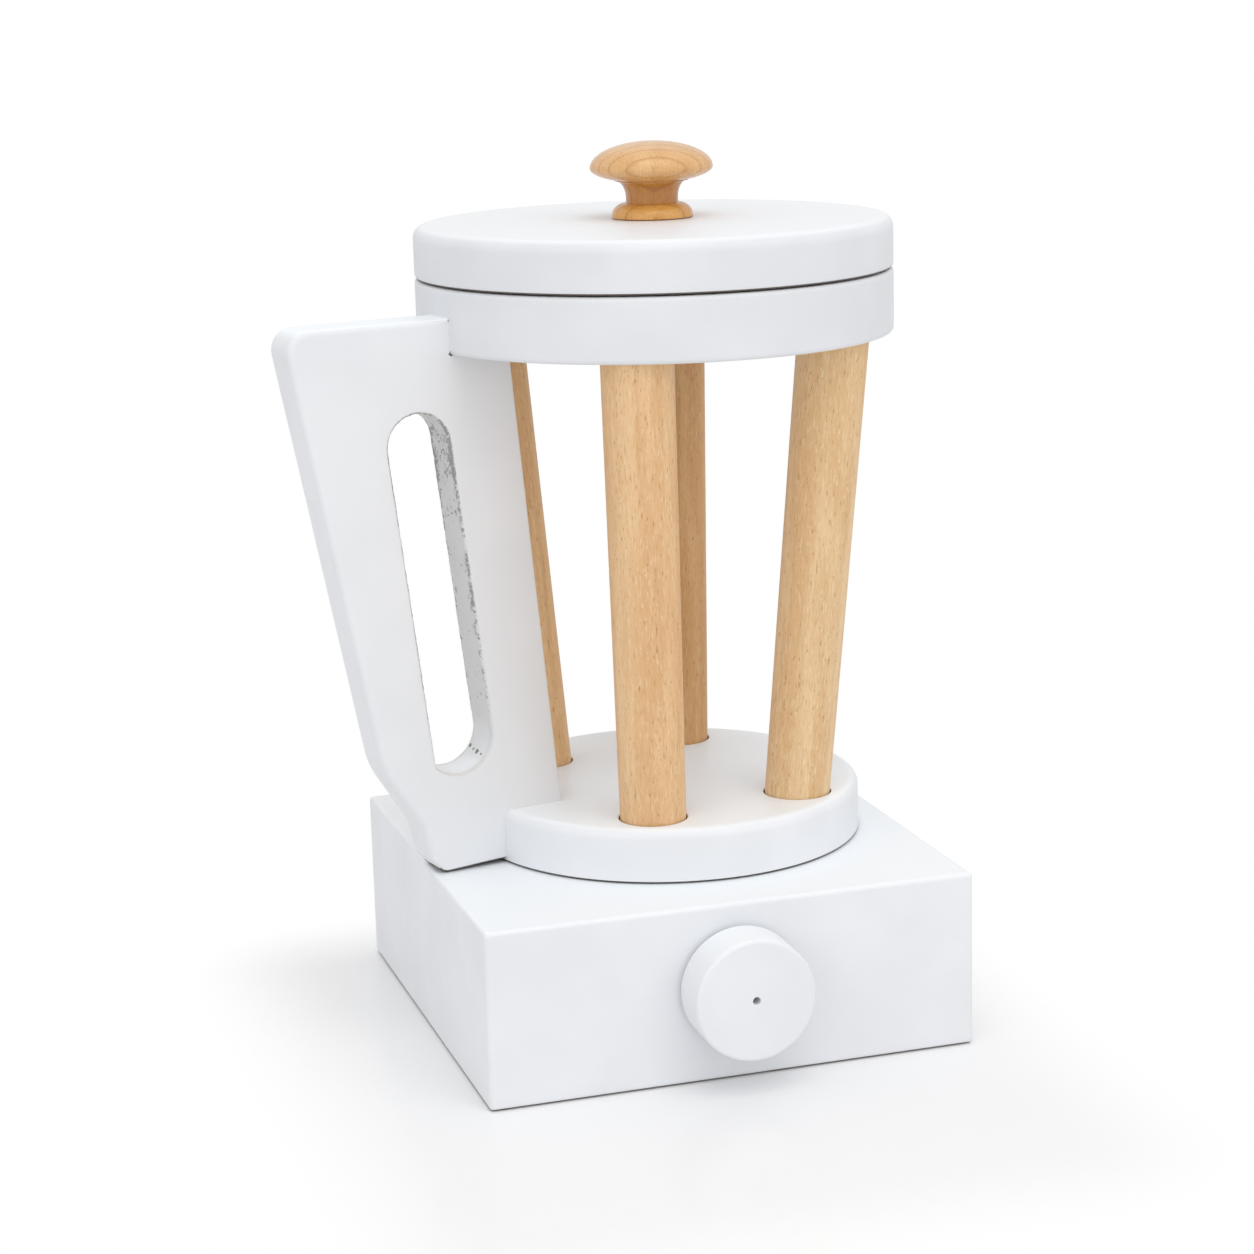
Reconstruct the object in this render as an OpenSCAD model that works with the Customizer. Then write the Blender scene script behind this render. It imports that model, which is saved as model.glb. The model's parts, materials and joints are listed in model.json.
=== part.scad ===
// Wooden play blender: a square base with a dial, a jar of four leaning dowels
// with a slotted handle, and a round lid with a turned knob.
// The origin is the centre of the base's underside and the front faces -Y.

/* [Base] */
// Width of the base along its front
base_w = 126; // [116:1:150]
// Depth of the base from front to back
base_d = 126; // [116:1:150]
// Height of the base
base_h = 45; // [43:1:60]
// Thickness of the four side boards
side_t = 12; // [9:0.5:14]
// Thickness of the top board
top_t = 12; // [11:0.5:14]
// Thickness of the bottom board
floor_t = 6; // [5:0.5:8]
// Rounding of the base's outer edges
base_edge_r = 1.2; // [0.5:0.1:4]
// Side of the square glue blocks in the corners
block_w = 14; // [12:1:20]
// Height of the glue blocks
block_h = 16; // [14:1:18]
// Diameter of the bottom board's screws
floor_screw_d = 3.5; // [3:0.1:4]
// Length of the bottom board's screws under the head
floor_screw_l = 15; // [12:1:18]

/* [Dial] */
// Diameter of the dial
dial_d = 30.6; // [24:0.2:34]
// Thickness of the dial
dial_t = 12.6; // [10:0.2:18]
// Distance of the dial's centre to the right of the base's middle
dial_x = 0.5; // [-10:0.5:10]
// Height of the dial's centre above the middle of the base's height
dial_up = 1.8; // [0:0.1:3]
// Rounding of the dial's front edge
dial_edge_r = 1.4; // [0.4:0.1:3]
// Thickness of the spacer ring behind the dial
spacer_t = 0.8; // [0.4:0.1:2]
// Diameter of the spacer ring
spacer_d = 14; // [10:1:20]
// Diameter of the dial's screw
dial_screw_d = 4; // [3:0.5:5]
// Diameter of the pilot hole that shows in the dial's face
pilot_d = 2; // [1.6:0.1:2.8]
// Length of the pilot hole behind the dial's face
pilot_l = 4.4; // [3:0.2:6]
// Diameter of the washer inside the front board
washer_d = 11; // [9:0.5:14]
// Thickness of the washer
washer_t = 1; // [0.6:0.1:2]

/* [Jar] */
// Place of the jar's axis to the right of the base's middle
jar_x = 5; // [0:0.5:10]
// Place of the jar's axis behind the base's middle
jar_y = 5; // [0:0.5:10]
// Turn of the jar on the base
jar_turn = 11; // [-20:1:20]
// Diameter of the jar's bottom disc
disc_d = 101; // [96:1:112]
// Thickness of the bottom disc
disc_t = 13.5; // [12:0.5:18]
// Rounding of the bottom disc's top edge
disc_edge_r = 2.6; // [0.8:0.2:4]
// Free height of the dowels between the disc and the ring
dowel_h = 117; // [90:1:140]
// Diameter of a dowel at the disc
dowel_foot_d = 16.8; // [14:0.2:20]
// Diameter of a dowel at the ring
dowel_top_d = 18; // [15:0.2:20]
// Distance of the dowels' centres from the rim of the disc
dowel_foot_inset = 12.5; // [11.5:0.1:14]
// Distance of the dowels' centres from the rim of the ring
dowel_top_inset = 11.3; // [11:0.1:12]
// Angle of the right-hand dowels from the jar's right-hand side
dowel_front_a = 56; // [46:1:60]
// Angle of the left-hand dowels from the handle
dowel_handle_a = 56; // [46:1:66]
// Depth of the dowels' holes in the disc
dowel_foot_depth = 8; // [6:0.5:9]
// Depth of the dowels' holes in the ring
dowel_top_depth = 7; // [5:0.5:9]
// Outer diameter of the ring and of the lid
ring_d = 121.2; // [120:0.2:130]
// Diameter of the mouth through the ring
mouth_d = 72; // [60:1:74]
// Height of the ring
ring_t = 16; // [14:0.5:20]
// Rounding of the ring's edges and the lid's bottom edge
ring_edge_r = 1.1; // [0.4:0.1:1.4]
// Diameter of the loose peg that centres the jar on the base
peg_d = 12; // [8:1:16]
// Depth of the peg's hole in the base
peg_base_depth = 8; // [5:0.5:10]
// Depth of the peg's hole in the disc
peg_disc_depth = 7; // [5:0.5:10]

/* [Handle] */
// Thickness of the handle plate
handle_t = 12; // [10:0.5:16]
// Reach of the plate's top corner from the jar's axis
handle_reach = 103.6; // [96:0.2:112]
// Height of the plate's top above the underside of the ring
handle_over = 9; // [7:0.5:12]
// Reach of the bend low on the plate's outer edge
handle_bend = 82.6; // [79:0.2:86]
// Height of that bend above the jar's underside
handle_bend_z = 28; // [24:1:34]
// Radius of that bend
handle_bend_r = 22; // [10:1:30]
// Reach of the plate's foot from the jar's axis
handle_foot = 69.2; // [65:0.2:71]
// Rounding of the plate's top corner
handle_corner_r = 5.4; // [2:0.2:9]
// Rounding of the plate's foot
handle_foot_round = 2; // [1:0.2:3]
// Rise of the plate's underside from its foot to the line of the dowels
handle_lift = 1.6; // [0:0.1:2]
// How far the plate's top lies out from the edge of the mouth
handle_shoulder = 12; // [10:0.5:14]
// Reach of the plate's inner edge at the disc
handle_inner_foot = 34.2; // [31:0.2:38]
// Reach of the plate's inner edge at the ring
handle_inner_top = 44.5; // [40:0.5:48]
// Width of the finger slot
slot_w = 16.4; // [14:0.2:20]
// Distance of the slot from the plate's outer edge
slot_wall = 20; // [17:0.5:24]
// Height of the slot's lower end above the disc
slot_foot = 11.5; // [8:0.5:20]
// Height of the plate left above the slot, under the ring
slot_head = 13.5; // [8:0.5:20]
// Lean of the slot
slot_lean = 6.5; // [2:0.5:9]
// Radius of the slot's lower end, which meets the outer side in a corner
slot_end_r = 9.2; // [8.2:0.1:12]
// Diameter of the pins that hold the plate
pin_d = 5; // [3:0.5:6]
// Length of the pins
pin_l = 16; // [10:1:18]

/* [Lid] */
// Thickness of the lid
lid_t = 13; // [10:0.5:18]
// Rounding of the lid's top edge
lid_edge_r = 3; // [1:0.2:5]
// Thickness of the plug under the lid
plug_t = 6; // [4:0.5:9]
// Diameter of the knob's head
knob_d = 31; // [24:0.5:40]
// Height of the knob
knob_h = 19.2; // [16:0.2:26]
// Diameter of the knob's foot
knob_foot_d = 20.6; // [18:0.2:24]
// Diameter of the knob's neck
knob_neck_d = 13.2; // [11:0.2:16]
// Diameter of the knob's screw
knob_screw_d = 4; // [3:0.5:5]
// Length of the knob's screw above the lid
knob_screw_l = 11; // [8:0.5:12]

/* [Clearances] */
// Gap between the base and the jar, and between the ring and the lid
seat_gap = 0.3; // [0.2:0.05:0.5]
// Radial gap of the turning and sliding fits
fit_gap = 0.08; // [0.03:0.01:0.1]
// End play of the dial and of the peg
end_play = 0.15; // [0.1:0.05:0.3]
// Gap round the dowels in the disc
dowel_gap = 0.25; // [0.1:0.05:0.4]
// Gap between glued and screwed pieces
glue_gap = 0.05; // [0.02:0.01:0.1]
// Gap round the bottom board
floor_gap = 0.4; // [0.2:0.1:0.8]
// Radial gap between the lid's plug and the mouth
plug_gap = 0.4; // [0.3:0.1:1]

/* [Hidden] */
$fn = 96;

paint = [0.93, 0.935, 0.945];
wood = [0.84, 0.68, 0.47];
raw_board = [0.80, 0.72, 0.58];
steel = [0.62, 0.62, 0.64];
felt = [0.25, 0.25, 0.26];

cut = 1;                                   // extra length of a cutting body past a face
wall_h = base_h - top_t;                   // height of the side boards
inner_w = base_w - 2 * side_t;
inner_d = base_d - 2 * side_t;
screw_head_ratio = 2;                      // diameter of a screw's head to its shank
floor_head_h = floor_screw_d * 0.6;
screw_sink = 0.3;                          // depth of the screws' heads in the bottom board

dial_z = base_h / 2 + dial_up;
dial_head_d = dial_screw_d * screw_head_ratio;
dial_head_h = dial_screw_d * 0.7;
screw_tip_h = dial_screw_d * 0.8;
screw_tip_d = pilot_d * 0.7;

ring_z = disc_t + dowel_h;                 // underside of the ring above the jar's own
jar_z = base_h + seat_gap;                 // underside of the jar
lid_z = jar_z + ring_z + ring_t + seat_gap;
dowel_foot_r = disc_d / 2 - dowel_foot_inset;
dowel_top_r = ring_d / 2 - dowel_top_inset;
dowel_tilt = atan((dowel_top_r - dowel_foot_r) / dowel_h);
dowel_l = dowel_h / cos(dowel_tilt);       // length of a dowel between the disc and the ring
dowel_taper = (dowel_top_d - dowel_foot_d) / dowel_l;
dowel_mouth = 4;                           // how far a dowel's cutting body passes the face
dowel_angles = [180 + dowel_handle_a, -dowel_front_a, dowel_front_a, 180 - dowel_handle_a];
peg_chamfer = 1;

handle_top = ring_z + handle_over;
handle_slope = (handle_reach - handle_bend) / (handle_top - handle_bend_z);
waist_x = handle_foot + 3.6;               // concave bend between the slope and the foot
waist_z = handle_bend_z * 0.45;
waist_r = 7;
foot_lean = 3;                             // how far the foot's outer face leans in
foot_step = 3.6;                           // height of that leaning face
slot_r = slot_w / 2;
slot_low = disc_t + slot_foot + slot_end_r; // heights of the slot's end centres
slot_high = ring_z - slot_head - slot_r;
slot_high_x = handle_bend + (slot_high - handle_bend_z) * handle_slope - slot_wall - slot_r;
slot_low_x = slot_high_x - (slot_high - slot_low) * tan(slot_lean);
pin_disc_z = disc_t / 2;
pin_ring_z = ring_z + handle_over / 2;

plug_d = mouth_d - 2 * plug_gap;
plug_chamfer = 1;
knob_head_d = knob_screw_d * screw_head_ratio;
knob_head_h = knob_screw_d * 0.6;

// ---- helpers ----

function unit(v) = v / norm(v);

// Points of the arc that rounds corner b between a and c; each corner is [x, y, radius]
function corner_arc(a, b, c, steps = 12) =
    let (p = [b[0], b[1]], u = unit([a[0], a[1]] - p), v = unit([c[0], c[1]] - p),
         half = acos(u * v) / 2, mid = p + unit(u + v) * b[2] / sin(half),
         from = p + u * b[2] / tan(half) - mid, to = p + v * b[2] / tan(half) - mid,
         start = atan2(from[1], from[0]), turn = atan2(to[1], to[0]) - start,
         sweep = turn > 180 ? turn - 360 : turn < -180 ? turn + 360 : turn)
    [for (i = [0 : steps]) mid + b[2] * [cos(start + sweep * i / steps), sin(start + sweep * i / steps)]];

function rounded_path(corners) =
    [for (i = [0 : len(corners) - 1])
        let (b = corners[i], a = corners[(i + len(corners) - 1) % len(corners)],
             c = corners[(i + 1) % len(corners)])
        each (b[2] > 0 ? corner_arc(a, b, c) : [[b[0], b[1]]])];

module rounded_square(w, h, r) {
    square([w - 2 * r, h], center = true);
    square([w, h - 2 * r], center = true);
    for (sx = [-1, 1], sy = [-1, 1])
        translate([sx * (w / 2 - r), sy * (h / 2 - r)]) circle(r = r);
}

// Outer form of the base, with every edge rounded
module base_form() {
    intersection() {
        linear_extrude(base_h) rounded_square(base_w, base_d, base_edge_r);
        translate([0, base_d / 2, base_h / 2]) rotate([90, 0, 0])
            linear_extrude(base_d) rounded_square(base_w, base_h, base_edge_r);
        translate([-base_w / 2, 0, base_h / 2]) rotate([90, 0, 90])
            linear_extrude(base_w) rounded_square(base_d, base_h, base_edge_r);
    }
}

// The part of the base's outer form inside a box that starts at corner p
module base_piece(p, size) {
    intersection() {
        base_form();
        translate(p) cube(size);
    }
}

// What is left outside a rounded corner of radius r at the origin
module corner_waste(r) {
    difference() {
        translate([-r, -r]) square(r + cut);
        translate([-r, -r]) circle(r = r);
    }
}

module round_slab(d, h, top_r, foot_r) {
    rotate_extrude() difference() {
        square([d / 2, h]);
        translate([d / 2, h]) corner_waste(top_r);
        translate([d / 2, 0]) mirror([0, 1]) corner_waste(foot_r);
    }
}

// Countersunk wood screw with its head's face at z = 0 and its point upwards
module wood_screw(d, l, head_h) {
    cylinder(h = head_h, d1 = d * screw_head_ratio, d2 = d);
    translate([0, 0, head_h]) cylinder(h = l - head_h - d, d = d);
    translate([0, 0, l - d]) cylinder(h = d, d1 = d, d2 = d * 0.3);
}

// Hole for that screw, wider by the glue gap
module screw_hole(d, l, head_h) {
    translate([0, 0, -cut]) cylinder(h = cut, d = d * screw_head_ratio + 2 * glue_gap);
    cylinder(h = head_h, d1 = d * screw_head_ratio + 2 * glue_gap, d2 = d + 2 * glue_gap);
    cylinder(h = l + glue_gap, d = d + 2 * glue_gap);
}

module at_block_corners() {
    for (sx = [-1, 1], sy = [-1, 1])
        translate([sx * (inner_w - block_w) / 2, sy * (inner_d - block_w) / 2, 0]) children();
}

// Local +Z points out of the base's front, with z = 0 on the front face
module at_dial() {
    translate([dial_x, -base_d / 2, dial_z]) rotate([90, 0, 0]) children();
}

module at_jar() {
    translate([jar_x, jar_y, jar_z]) rotate([0, 0, jar_turn]) children();
}

module at_lid() {
    translate([jar_x, jar_y, lid_z]) rotate([0, 0, jar_turn]) children();
}

// Local +Z runs up the dowel, with z = 0 where its centre line leaves the disc
module at_dowel(angle) {
    rotate([0, 0, angle]) translate([dowel_foot_r, 0, disc_t]) rotate([0, dowel_tilt, 0]) children();
}

// Tapered round bar along a dowel's axis between two heights
module dowel_bar(low, high, gap) {
    translate([0, 0, low])
        cylinder(h = high - low, d1 = dowel_foot_d + low * dowel_taper + 2 * gap,
                 d2 = dowel_foot_d + high * dowel_taper + 2 * gap);
}

module dowel(index) {
    at_jar() at_dowel(dowel_angles[index])
        dowel_bar(-dowel_foot_depth, dowel_l + dowel_top_depth, 0);
}

// Pin bar along the handle's middle, centred on the rim of the disc or the ring
module handle_pin(rim_d, z, gap) {
    translate([-rim_d / 2 - pin_l / 2 - gap, 0, z]) rotate([0, 90, 0])
        cylinder(h = pin_l + 2 * gap, d = pin_d + 2 * gap);
}

// ---- base ----

module base_top_board() {
    color(paint) difference() {
        base_piece([-base_w / 2, -base_d / 2, wall_h], [base_w, base_d, top_t]);
        translate([jar_x, jar_y, base_h - peg_base_depth])
            cylinder(h = peg_base_depth + cut, d = peg_d + 2 * fit_gap);
    }
}

module base_front_board() {
    color(paint) difference() {
        base_piece([-base_w / 2, -base_d / 2, 0], [base_w, side_t, wall_h]);
        at_dial() translate([0, 0, -side_t - cut])
            cylinder(h = side_t + 2 * cut, d = dial_screw_d + 2 * fit_gap);
    }
}

module base_back_board() {
    color(paint) base_piece([-base_w / 2, base_d / 2 - side_t, 0], [base_w, side_t, wall_h]);
}

module base_left_board() {
    color(paint) base_piece([-base_w / 2, -inner_d / 2, 0], [side_t, inner_d, wall_h]);
}

module base_right_board() {
    color(paint) base_piece([inner_w / 2, -inner_d / 2, 0], [side_t, inner_d, wall_h]);
}

module base_bottom_board() {
    color(raw_board) difference() {
        translate([0, 0, floor_t / 2])
            cube([inner_w - 2 * floor_gap, inner_d - 2 * floor_gap, floor_t], center = true);
        at_block_corners() translate([0, 0, screw_sink])
            screw_hole(floor_screw_d, floor_screw_l, floor_head_h);
    }
}

module base_corner_blocks() {
    color(raw_board) difference() {
        at_block_corners() translate([0, 0, floor_t + block_h / 2])
            cube([block_w, block_w, block_h], center = true);
        at_block_corners() translate([0, 0, screw_sink])
            screw_hole(floor_screw_d, floor_screw_l, floor_head_h);
    }
}

module base_bottom_screws() {
    color(steel) at_block_corners() translate([0, 0, screw_sink])
        wood_screw(floor_screw_d, floor_screw_l, floor_head_h);
}

// ---- dial ----

module dial_knob() {
    seat_l = dial_t - pilot_l;
    color(paint) at_dial() translate([0, 0, spacer_t + end_play]) difference() {
        round_slab(dial_d, dial_t, dial_edge_r, dial_edge_r / 2);
        translate([0, 0, -cut]) cylinder(h = seat_l + cut, d = dial_screw_d + 2 * glue_gap);
        cylinder(h = dial_t + cut, d = pilot_d);
    }
}

module dial_spacer() {
    color(felt) at_dial() translate([0, 0, end_play]) difference() {
        cylinder(h = spacer_t, d = spacer_d);
        translate([0, 0, -cut]) cylinder(h = spacer_t + 2 * cut, d = dial_screw_d + 2 * glue_gap);
    }
}

module dial_screw() {
    head_z = -side_t - end_play - washer_t - dial_head_h;
    shank_end = end_play + spacer_t + dial_t - pilot_l - screw_tip_h;
    color(steel) at_dial() {
        translate([0, 0, head_z]) cylinder(h = dial_head_h, d = dial_head_d);
        translate([0, 0, head_z]) cylinder(h = shank_end - head_z, d = dial_screw_d);
        translate([0, 0, shank_end]) cylinder(h = screw_tip_h, d1 = dial_screw_d, d2 = screw_tip_d);
    }
}

module dial_washer() {
    color(steel) at_dial() translate([0, 0, -side_t - end_play - washer_t]) difference() {
        cylinder(h = washer_t, d = washer_d);
        translate([0, 0, -cut]) cylinder(h = washer_t + 2 * cut, d = dial_screw_d + 2 * glue_gap);
    }
}

// ---- jar ----

module jar_peg() {
    peg_l = peg_base_depth + seat_gap + peg_disc_depth - 2 * end_play;
    color(wood) translate([jar_x, jar_y, base_h - peg_base_depth + end_play]) {
        cylinder(h = peg_chamfer, d1 = peg_d - 2 * peg_chamfer, d2 = peg_d);
        translate([0, 0, peg_chamfer]) cylinder(h = peg_l - 2 * peg_chamfer, d = peg_d);
        translate([0, 0, peg_l - peg_chamfer])
            cylinder(h = peg_chamfer, d1 = peg_d, d2 = peg_d - 2 * peg_chamfer);
    }
}

module jar_disc() {
    color(paint) at_jar() difference() {
        round_slab(disc_d, disc_t, disc_edge_r, ring_edge_r / 2);
        for (angle = dowel_angles)
            at_dowel(angle) dowel_bar(-dowel_foot_depth, dowel_mouth, dowel_gap);
        translate([0, 0, -cut]) cylinder(h = peg_disc_depth + cut, d = peg_d + 2 * fit_gap);
        handle_pin(disc_d, pin_disc_z, glue_gap);
    }
}

module dowel_front_left() { color(wood) dowel(0); }
module dowel_front_right() { color(wood) dowel(1); }
module dowel_back_right() { color(wood) dowel(2); }
module dowel_back_left() { color(wood) dowel(3); }

module jar_ring() {
    color(paint) at_jar() difference() {
        translate([0, 0, ring_z]) round_slab(ring_d, ring_t, ring_edge_r, ring_edge_r);
        translate([0, 0, ring_z - cut]) cylinder(h = ring_t + 2 * cut, d = mouth_d);
        for (angle = dowel_angles)
            at_dowel(angle) dowel_bar(dowel_l - dowel_mouth, dowel_l + dowel_top_depth, glue_gap);
        handle_pin(ring_d, pin_ring_z, glue_gap);
    }
}

// ---- handle ----

// Outline of the plate, with x as the reach from the jar's axis
module handle_outline() {
    polygon(rounded_path([
        [handle_inner_foot, disc_t, 0],
        [handle_inner_top, ring_z, 0],
        [mouth_d / 2 + handle_shoulder, ring_z, 0],
        [mouth_d / 2 + handle_shoulder, handle_top, 0],
        [handle_reach, handle_top, handle_corner_r],
        [handle_bend, handle_bend_z, handle_bend_r],
        [waist_x, waist_z, waist_r],
        [handle_foot + foot_lean / 2, foot_step, handle_foot_round],
        [handle_foot - foot_lean / 2, 0, handle_foot_round],
        [dowel_foot_r, handle_lift, 0],
        [dowel_foot_r, disc_t, 0]
    ]));
}

module slot_outline() {
    slot_l = norm([slot_high_x - slot_low_x, slot_high - slot_low]);
    translate([slot_low_x, slot_low]) rotate(-slot_lean) {
        translate([0, slot_l]) circle(r = slot_r);
        translate([-slot_r, 0]) square([slot_w, slot_l]);
        intersection() {
            translate([slot_end_r - slot_r, 0]) circle(r = slot_end_r);
            translate([-slot_r, -slot_end_r]) square([slot_w, 2 * slot_end_r]);
        }
    }
}

module handle_plate() {
    color(paint) at_jar() difference() {
        translate([0, handle_t / 2, 0]) rotate([90, 0, 0]) linear_extrude(handle_t)
            mirror([1, 0]) difference() {
                handle_outline();
                slot_outline();
            }
        translate([0, 0, -cut]) cylinder(h = disc_t + cut, d = disc_d + 2 * glue_gap);
        translate([0, 0, ring_z]) cylinder(h = ring_t, d = ring_d + 2 * glue_gap);
        handle_pin(disc_d, pin_disc_z, glue_gap);
        handle_pin(ring_d, pin_ring_z, glue_gap);
    }
}

module handle_disc_pin() { color(wood) at_jar() handle_pin(disc_d, pin_disc_z, 0); }
module handle_ring_pin() { color(wood) at_jar() handle_pin(ring_d, pin_ring_z, 0); }

// ---- lid ----

module lid_disc() {
    color(paint) at_lid() difference() {
        round_slab(ring_d, lid_t, lid_edge_r, ring_edge_r);
        translate([0, 0, -cut]) cylinder(h = lid_t + 2 * cut, d = knob_screw_d + 2 * glue_gap);
    }
}

module lid_plug() {
    color(paint) at_lid() difference() {
        translate([0, 0, -plug_t]) union() {
            cylinder(h = plug_chamfer, d1 = plug_d - 2 * plug_chamfer, d2 = plug_d);
            translate([0, 0, plug_chamfer]) cylinder(h = plug_t - plug_chamfer, d = plug_d);
        }
        translate([0, 0, -plug_t]) screw_hole(knob_screw_d, plug_t + cut, knob_head_h);
    }
}

// Half outline of the turned knob: foot, neck and mushroom head
function knob_outline() =
    let (foot_h = knob_h * 0.2, neck_z = knob_h * 0.27, under_z = knob_h * 0.49,
         head_z = knob_h * 0.66, foot_r = knob_foot_d / 2, neck_r = knob_neck_d / 2,
         under_r = knob_d * 0.3, head_r = knob_d / 2, under_a = acos(under_r / head_r))
    concat(
        [[0, 0], [foot_r, 0]],
        [for (a = [15 : 15 : 90]) [neck_r + (foot_r - neck_r) * cos(a), foot_h * sin(a)]],
        [for (a = [0 : 15 : 90])
            [under_r - (under_r - neck_r) * cos(a), neck_z + (under_z - neck_z) * sin(a)]],
        [for (i = [5 : -1 : 0])
            let (a = under_a * i / 6)
            [head_r * cos(a), head_z - (head_z - under_z) * sin(a) / sin(under_a)]],
        [for (a = [9 : 9 : 81]) [head_r * cos(a), head_z + (knob_h - head_z) * sin(a)]],
        [[0, knob_h]]);

module lid_knob() {
    color(wood) at_lid() translate([0, 0, lid_t]) difference() {
        rotate_extrude() polygon(knob_outline());
        translate([0, 0, -cut])
            cylinder(h = knob_screw_l + glue_gap + cut, d = knob_screw_d + 2 * glue_gap);
    }
}

module lid_knob_screw() {
    color(steel) at_lid() translate([0, 0, -plug_t])
        wood_screw(knob_screw_d, plug_t + lid_t + knob_screw_l, knob_head_h);
}

base_top_board();
base_front_board();
base_back_board();
base_left_board();
base_right_board();
base_bottom_board();
base_corner_blocks();
base_bottom_screws();
dial_knob();
dial_spacer();
dial_screw();
dial_washer();
jar_peg();
jar_disc();
dowel_front_left();
dowel_front_right();
dowel_back_right();
dowel_back_left();
jar_ring();
handle_plate();
handle_disc_pin();
handle_ring_pin();
lid_disc();
lid_plug();
lid_knob();
lid_knob_screw();
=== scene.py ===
import json
import math

import bmesh
import bpy
from mathutils import Matrix, Vector, noise


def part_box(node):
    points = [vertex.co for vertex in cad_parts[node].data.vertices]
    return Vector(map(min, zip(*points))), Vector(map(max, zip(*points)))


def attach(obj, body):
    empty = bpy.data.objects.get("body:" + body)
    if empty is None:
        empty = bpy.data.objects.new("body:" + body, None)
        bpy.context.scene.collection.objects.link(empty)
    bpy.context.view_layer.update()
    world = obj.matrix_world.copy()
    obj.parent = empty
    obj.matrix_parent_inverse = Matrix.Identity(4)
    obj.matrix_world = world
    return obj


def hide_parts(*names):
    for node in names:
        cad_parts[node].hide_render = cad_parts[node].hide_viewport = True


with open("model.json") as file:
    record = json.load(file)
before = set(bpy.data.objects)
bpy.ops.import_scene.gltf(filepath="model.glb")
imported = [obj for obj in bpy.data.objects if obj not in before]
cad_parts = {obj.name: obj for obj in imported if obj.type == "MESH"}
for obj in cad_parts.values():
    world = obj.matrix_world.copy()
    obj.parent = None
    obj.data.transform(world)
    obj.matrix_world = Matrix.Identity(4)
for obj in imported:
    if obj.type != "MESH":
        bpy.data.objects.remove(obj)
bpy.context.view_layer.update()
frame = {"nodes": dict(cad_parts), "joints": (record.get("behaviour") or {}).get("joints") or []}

mm = 0.001  # shapes are drawn in millimetres and become metres when a mesh is finished
jointPlace = {j["name"]: Vector(j.get("pos_m", (0, 0, 0))) / mm for j in frame["joints"]}
dialCentre = jointPlace["dial_turn"]
jarCentre = jointPlace["jar_turn"]


def cadBox(node):
    low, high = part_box(node)
    return low / mm, high / mm


def boxRadius(node):
    low, high = cadBox(node)
    return (high.x - low.x) / 2


def span(node):
    low, high = cadBox(node)
    return high.z - low.z


def onJarAxis(height):
    return Matrix.Translation((jarCentre.x, jarCentre.y, height))


def newObject(name, data):
    item = bpy.data.objects.new(name, data)
    bpy.context.scene.collection.objects.link(item)
    return item


# the camera stands where the photograph was taken
photoShot = {
    "azimuth": -17.06,        # degrees round the object, 0 looks straight at the front
    "elevation": 12.92,
    "roll": -1.545,
    "place": (-218.5, -691.9, 267.0),
    "focal": 82.6,            # for a sensor of this width
    "sensor": 36,
    "clip": (0.01, 50),       # nearest and farthest seen, in metres
}


def addCamera(shot):
    azimuth = math.radians(shot["azimuth"])
    elevation = math.radians(shot["elevation"])
    back = Vector((math.sin(azimuth) * math.cos(elevation), -math.cos(azimuth) * math.cos(elevation),
                   math.sin(elevation)))
    right = Vector((math.cos(azimuth), math.sin(azimuth), 0))
    aim = Matrix((right, back.cross(right), back)).transposed().to_4x4()
    camera = newObject("photoCamera", bpy.data.cameras.new("photoCamera"))
    camera.data.sensor_width = shot["sensor"]
    camera.data.lens = shot["focal"]
    camera.data.clip_start, camera.data.clip_end = shot["clip"]
    camera.matrix_world = (Matrix.Translation(Vector(shot["place"]) * mm) @ aim
                           @ Matrix.Rotation(math.radians(shot["roll"]), 4, "Z"))
    bpy.context.scene.camera = camera


addCamera(photoShot)
print("camera placed")


# node helpers, for materials and for Geometry Nodes

def isSocket(value):
    return isinstance(value, bpy.types.NodeSocket)


def fill(tree, socket, value):
    # gives an input a value, or a link from another node
    if isSocket(value):
        tree.links.new(value, socket)
    else:
        socket.default_value = value


def addNode(tree, kind, inputs=None, **settings):
    node = tree.nodes.new(kind)
    for key, value in settings.items():
        setattr(node, key, value)
    for key, value in (inputs or {}).items():
        fill(tree, node.inputs[key], value)
    return node


def maths(tree, operation, *values):
    return addNode(tree, "ShaderNodeMath", dict(enumerate(values)), operation=operation).outputs[0]


def vectorMaths(tree, operation, *values):
    node = addNode(tree, "ShaderNodeVectorMath", dict(enumerate(values)), operation=operation)
    return node.outputs["Value" if operation in ("DISTANCE", "LENGTH") else "Vector"]


def vectorOf(tree, x=0.0, y=0.0, z=0.0):
    return addNode(tree, "ShaderNodeCombineXYZ", {"X": x, "Y": y, "Z": z}).outputs[0]


def partsOf(tree, vector):
    return addNode(tree, "ShaderNodeSeparateXYZ", {"Vector": vector}).outputs


def between(tree, share, atZero, atOne):
    node = addNode(tree, "ShaderNodeMapRange", {"Value": share, "To Min": atZero, "To Max": atOne})
    return node.outputs["Result"]


def ramp(tree, value, low, high, atLow=0.0, atHigh=1.0):
    # a smooth step from one number to another
    node = addNode(tree, "ShaderNodeMapRange", {"Value": value, "From Min": low, "From Max": high,
                                                "To Min": atLow, "To Max": atHigh},
                   interpolation_type="SMOOTHSTEP")
    return node.outputs["Result"]


def newMaterial(name):
    material = bpy.data.materials.new(name)
    material.use_nodes = True
    return material, material.node_tree


def setShader(material, inputs):
    tree = material.node_tree
    for key, value in inputs.items():
        fill(tree, tree.nodes["Principled BSDF"].inputs[key], value)


def mixColours(tree, factor, first, second, blend="MIX"):
    node = addNode(tree, "ShaderNodeMix", {0: factor}, data_type="RGBA", blend_type=blend)
    for index, colour in ((6, first), (7, second)):  # the Mix node's inputs for colours
        fill(tree, node.inputs[index], colour if isSocket(colour) else (*colour, 1))
    return node.outputs[2]


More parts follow.
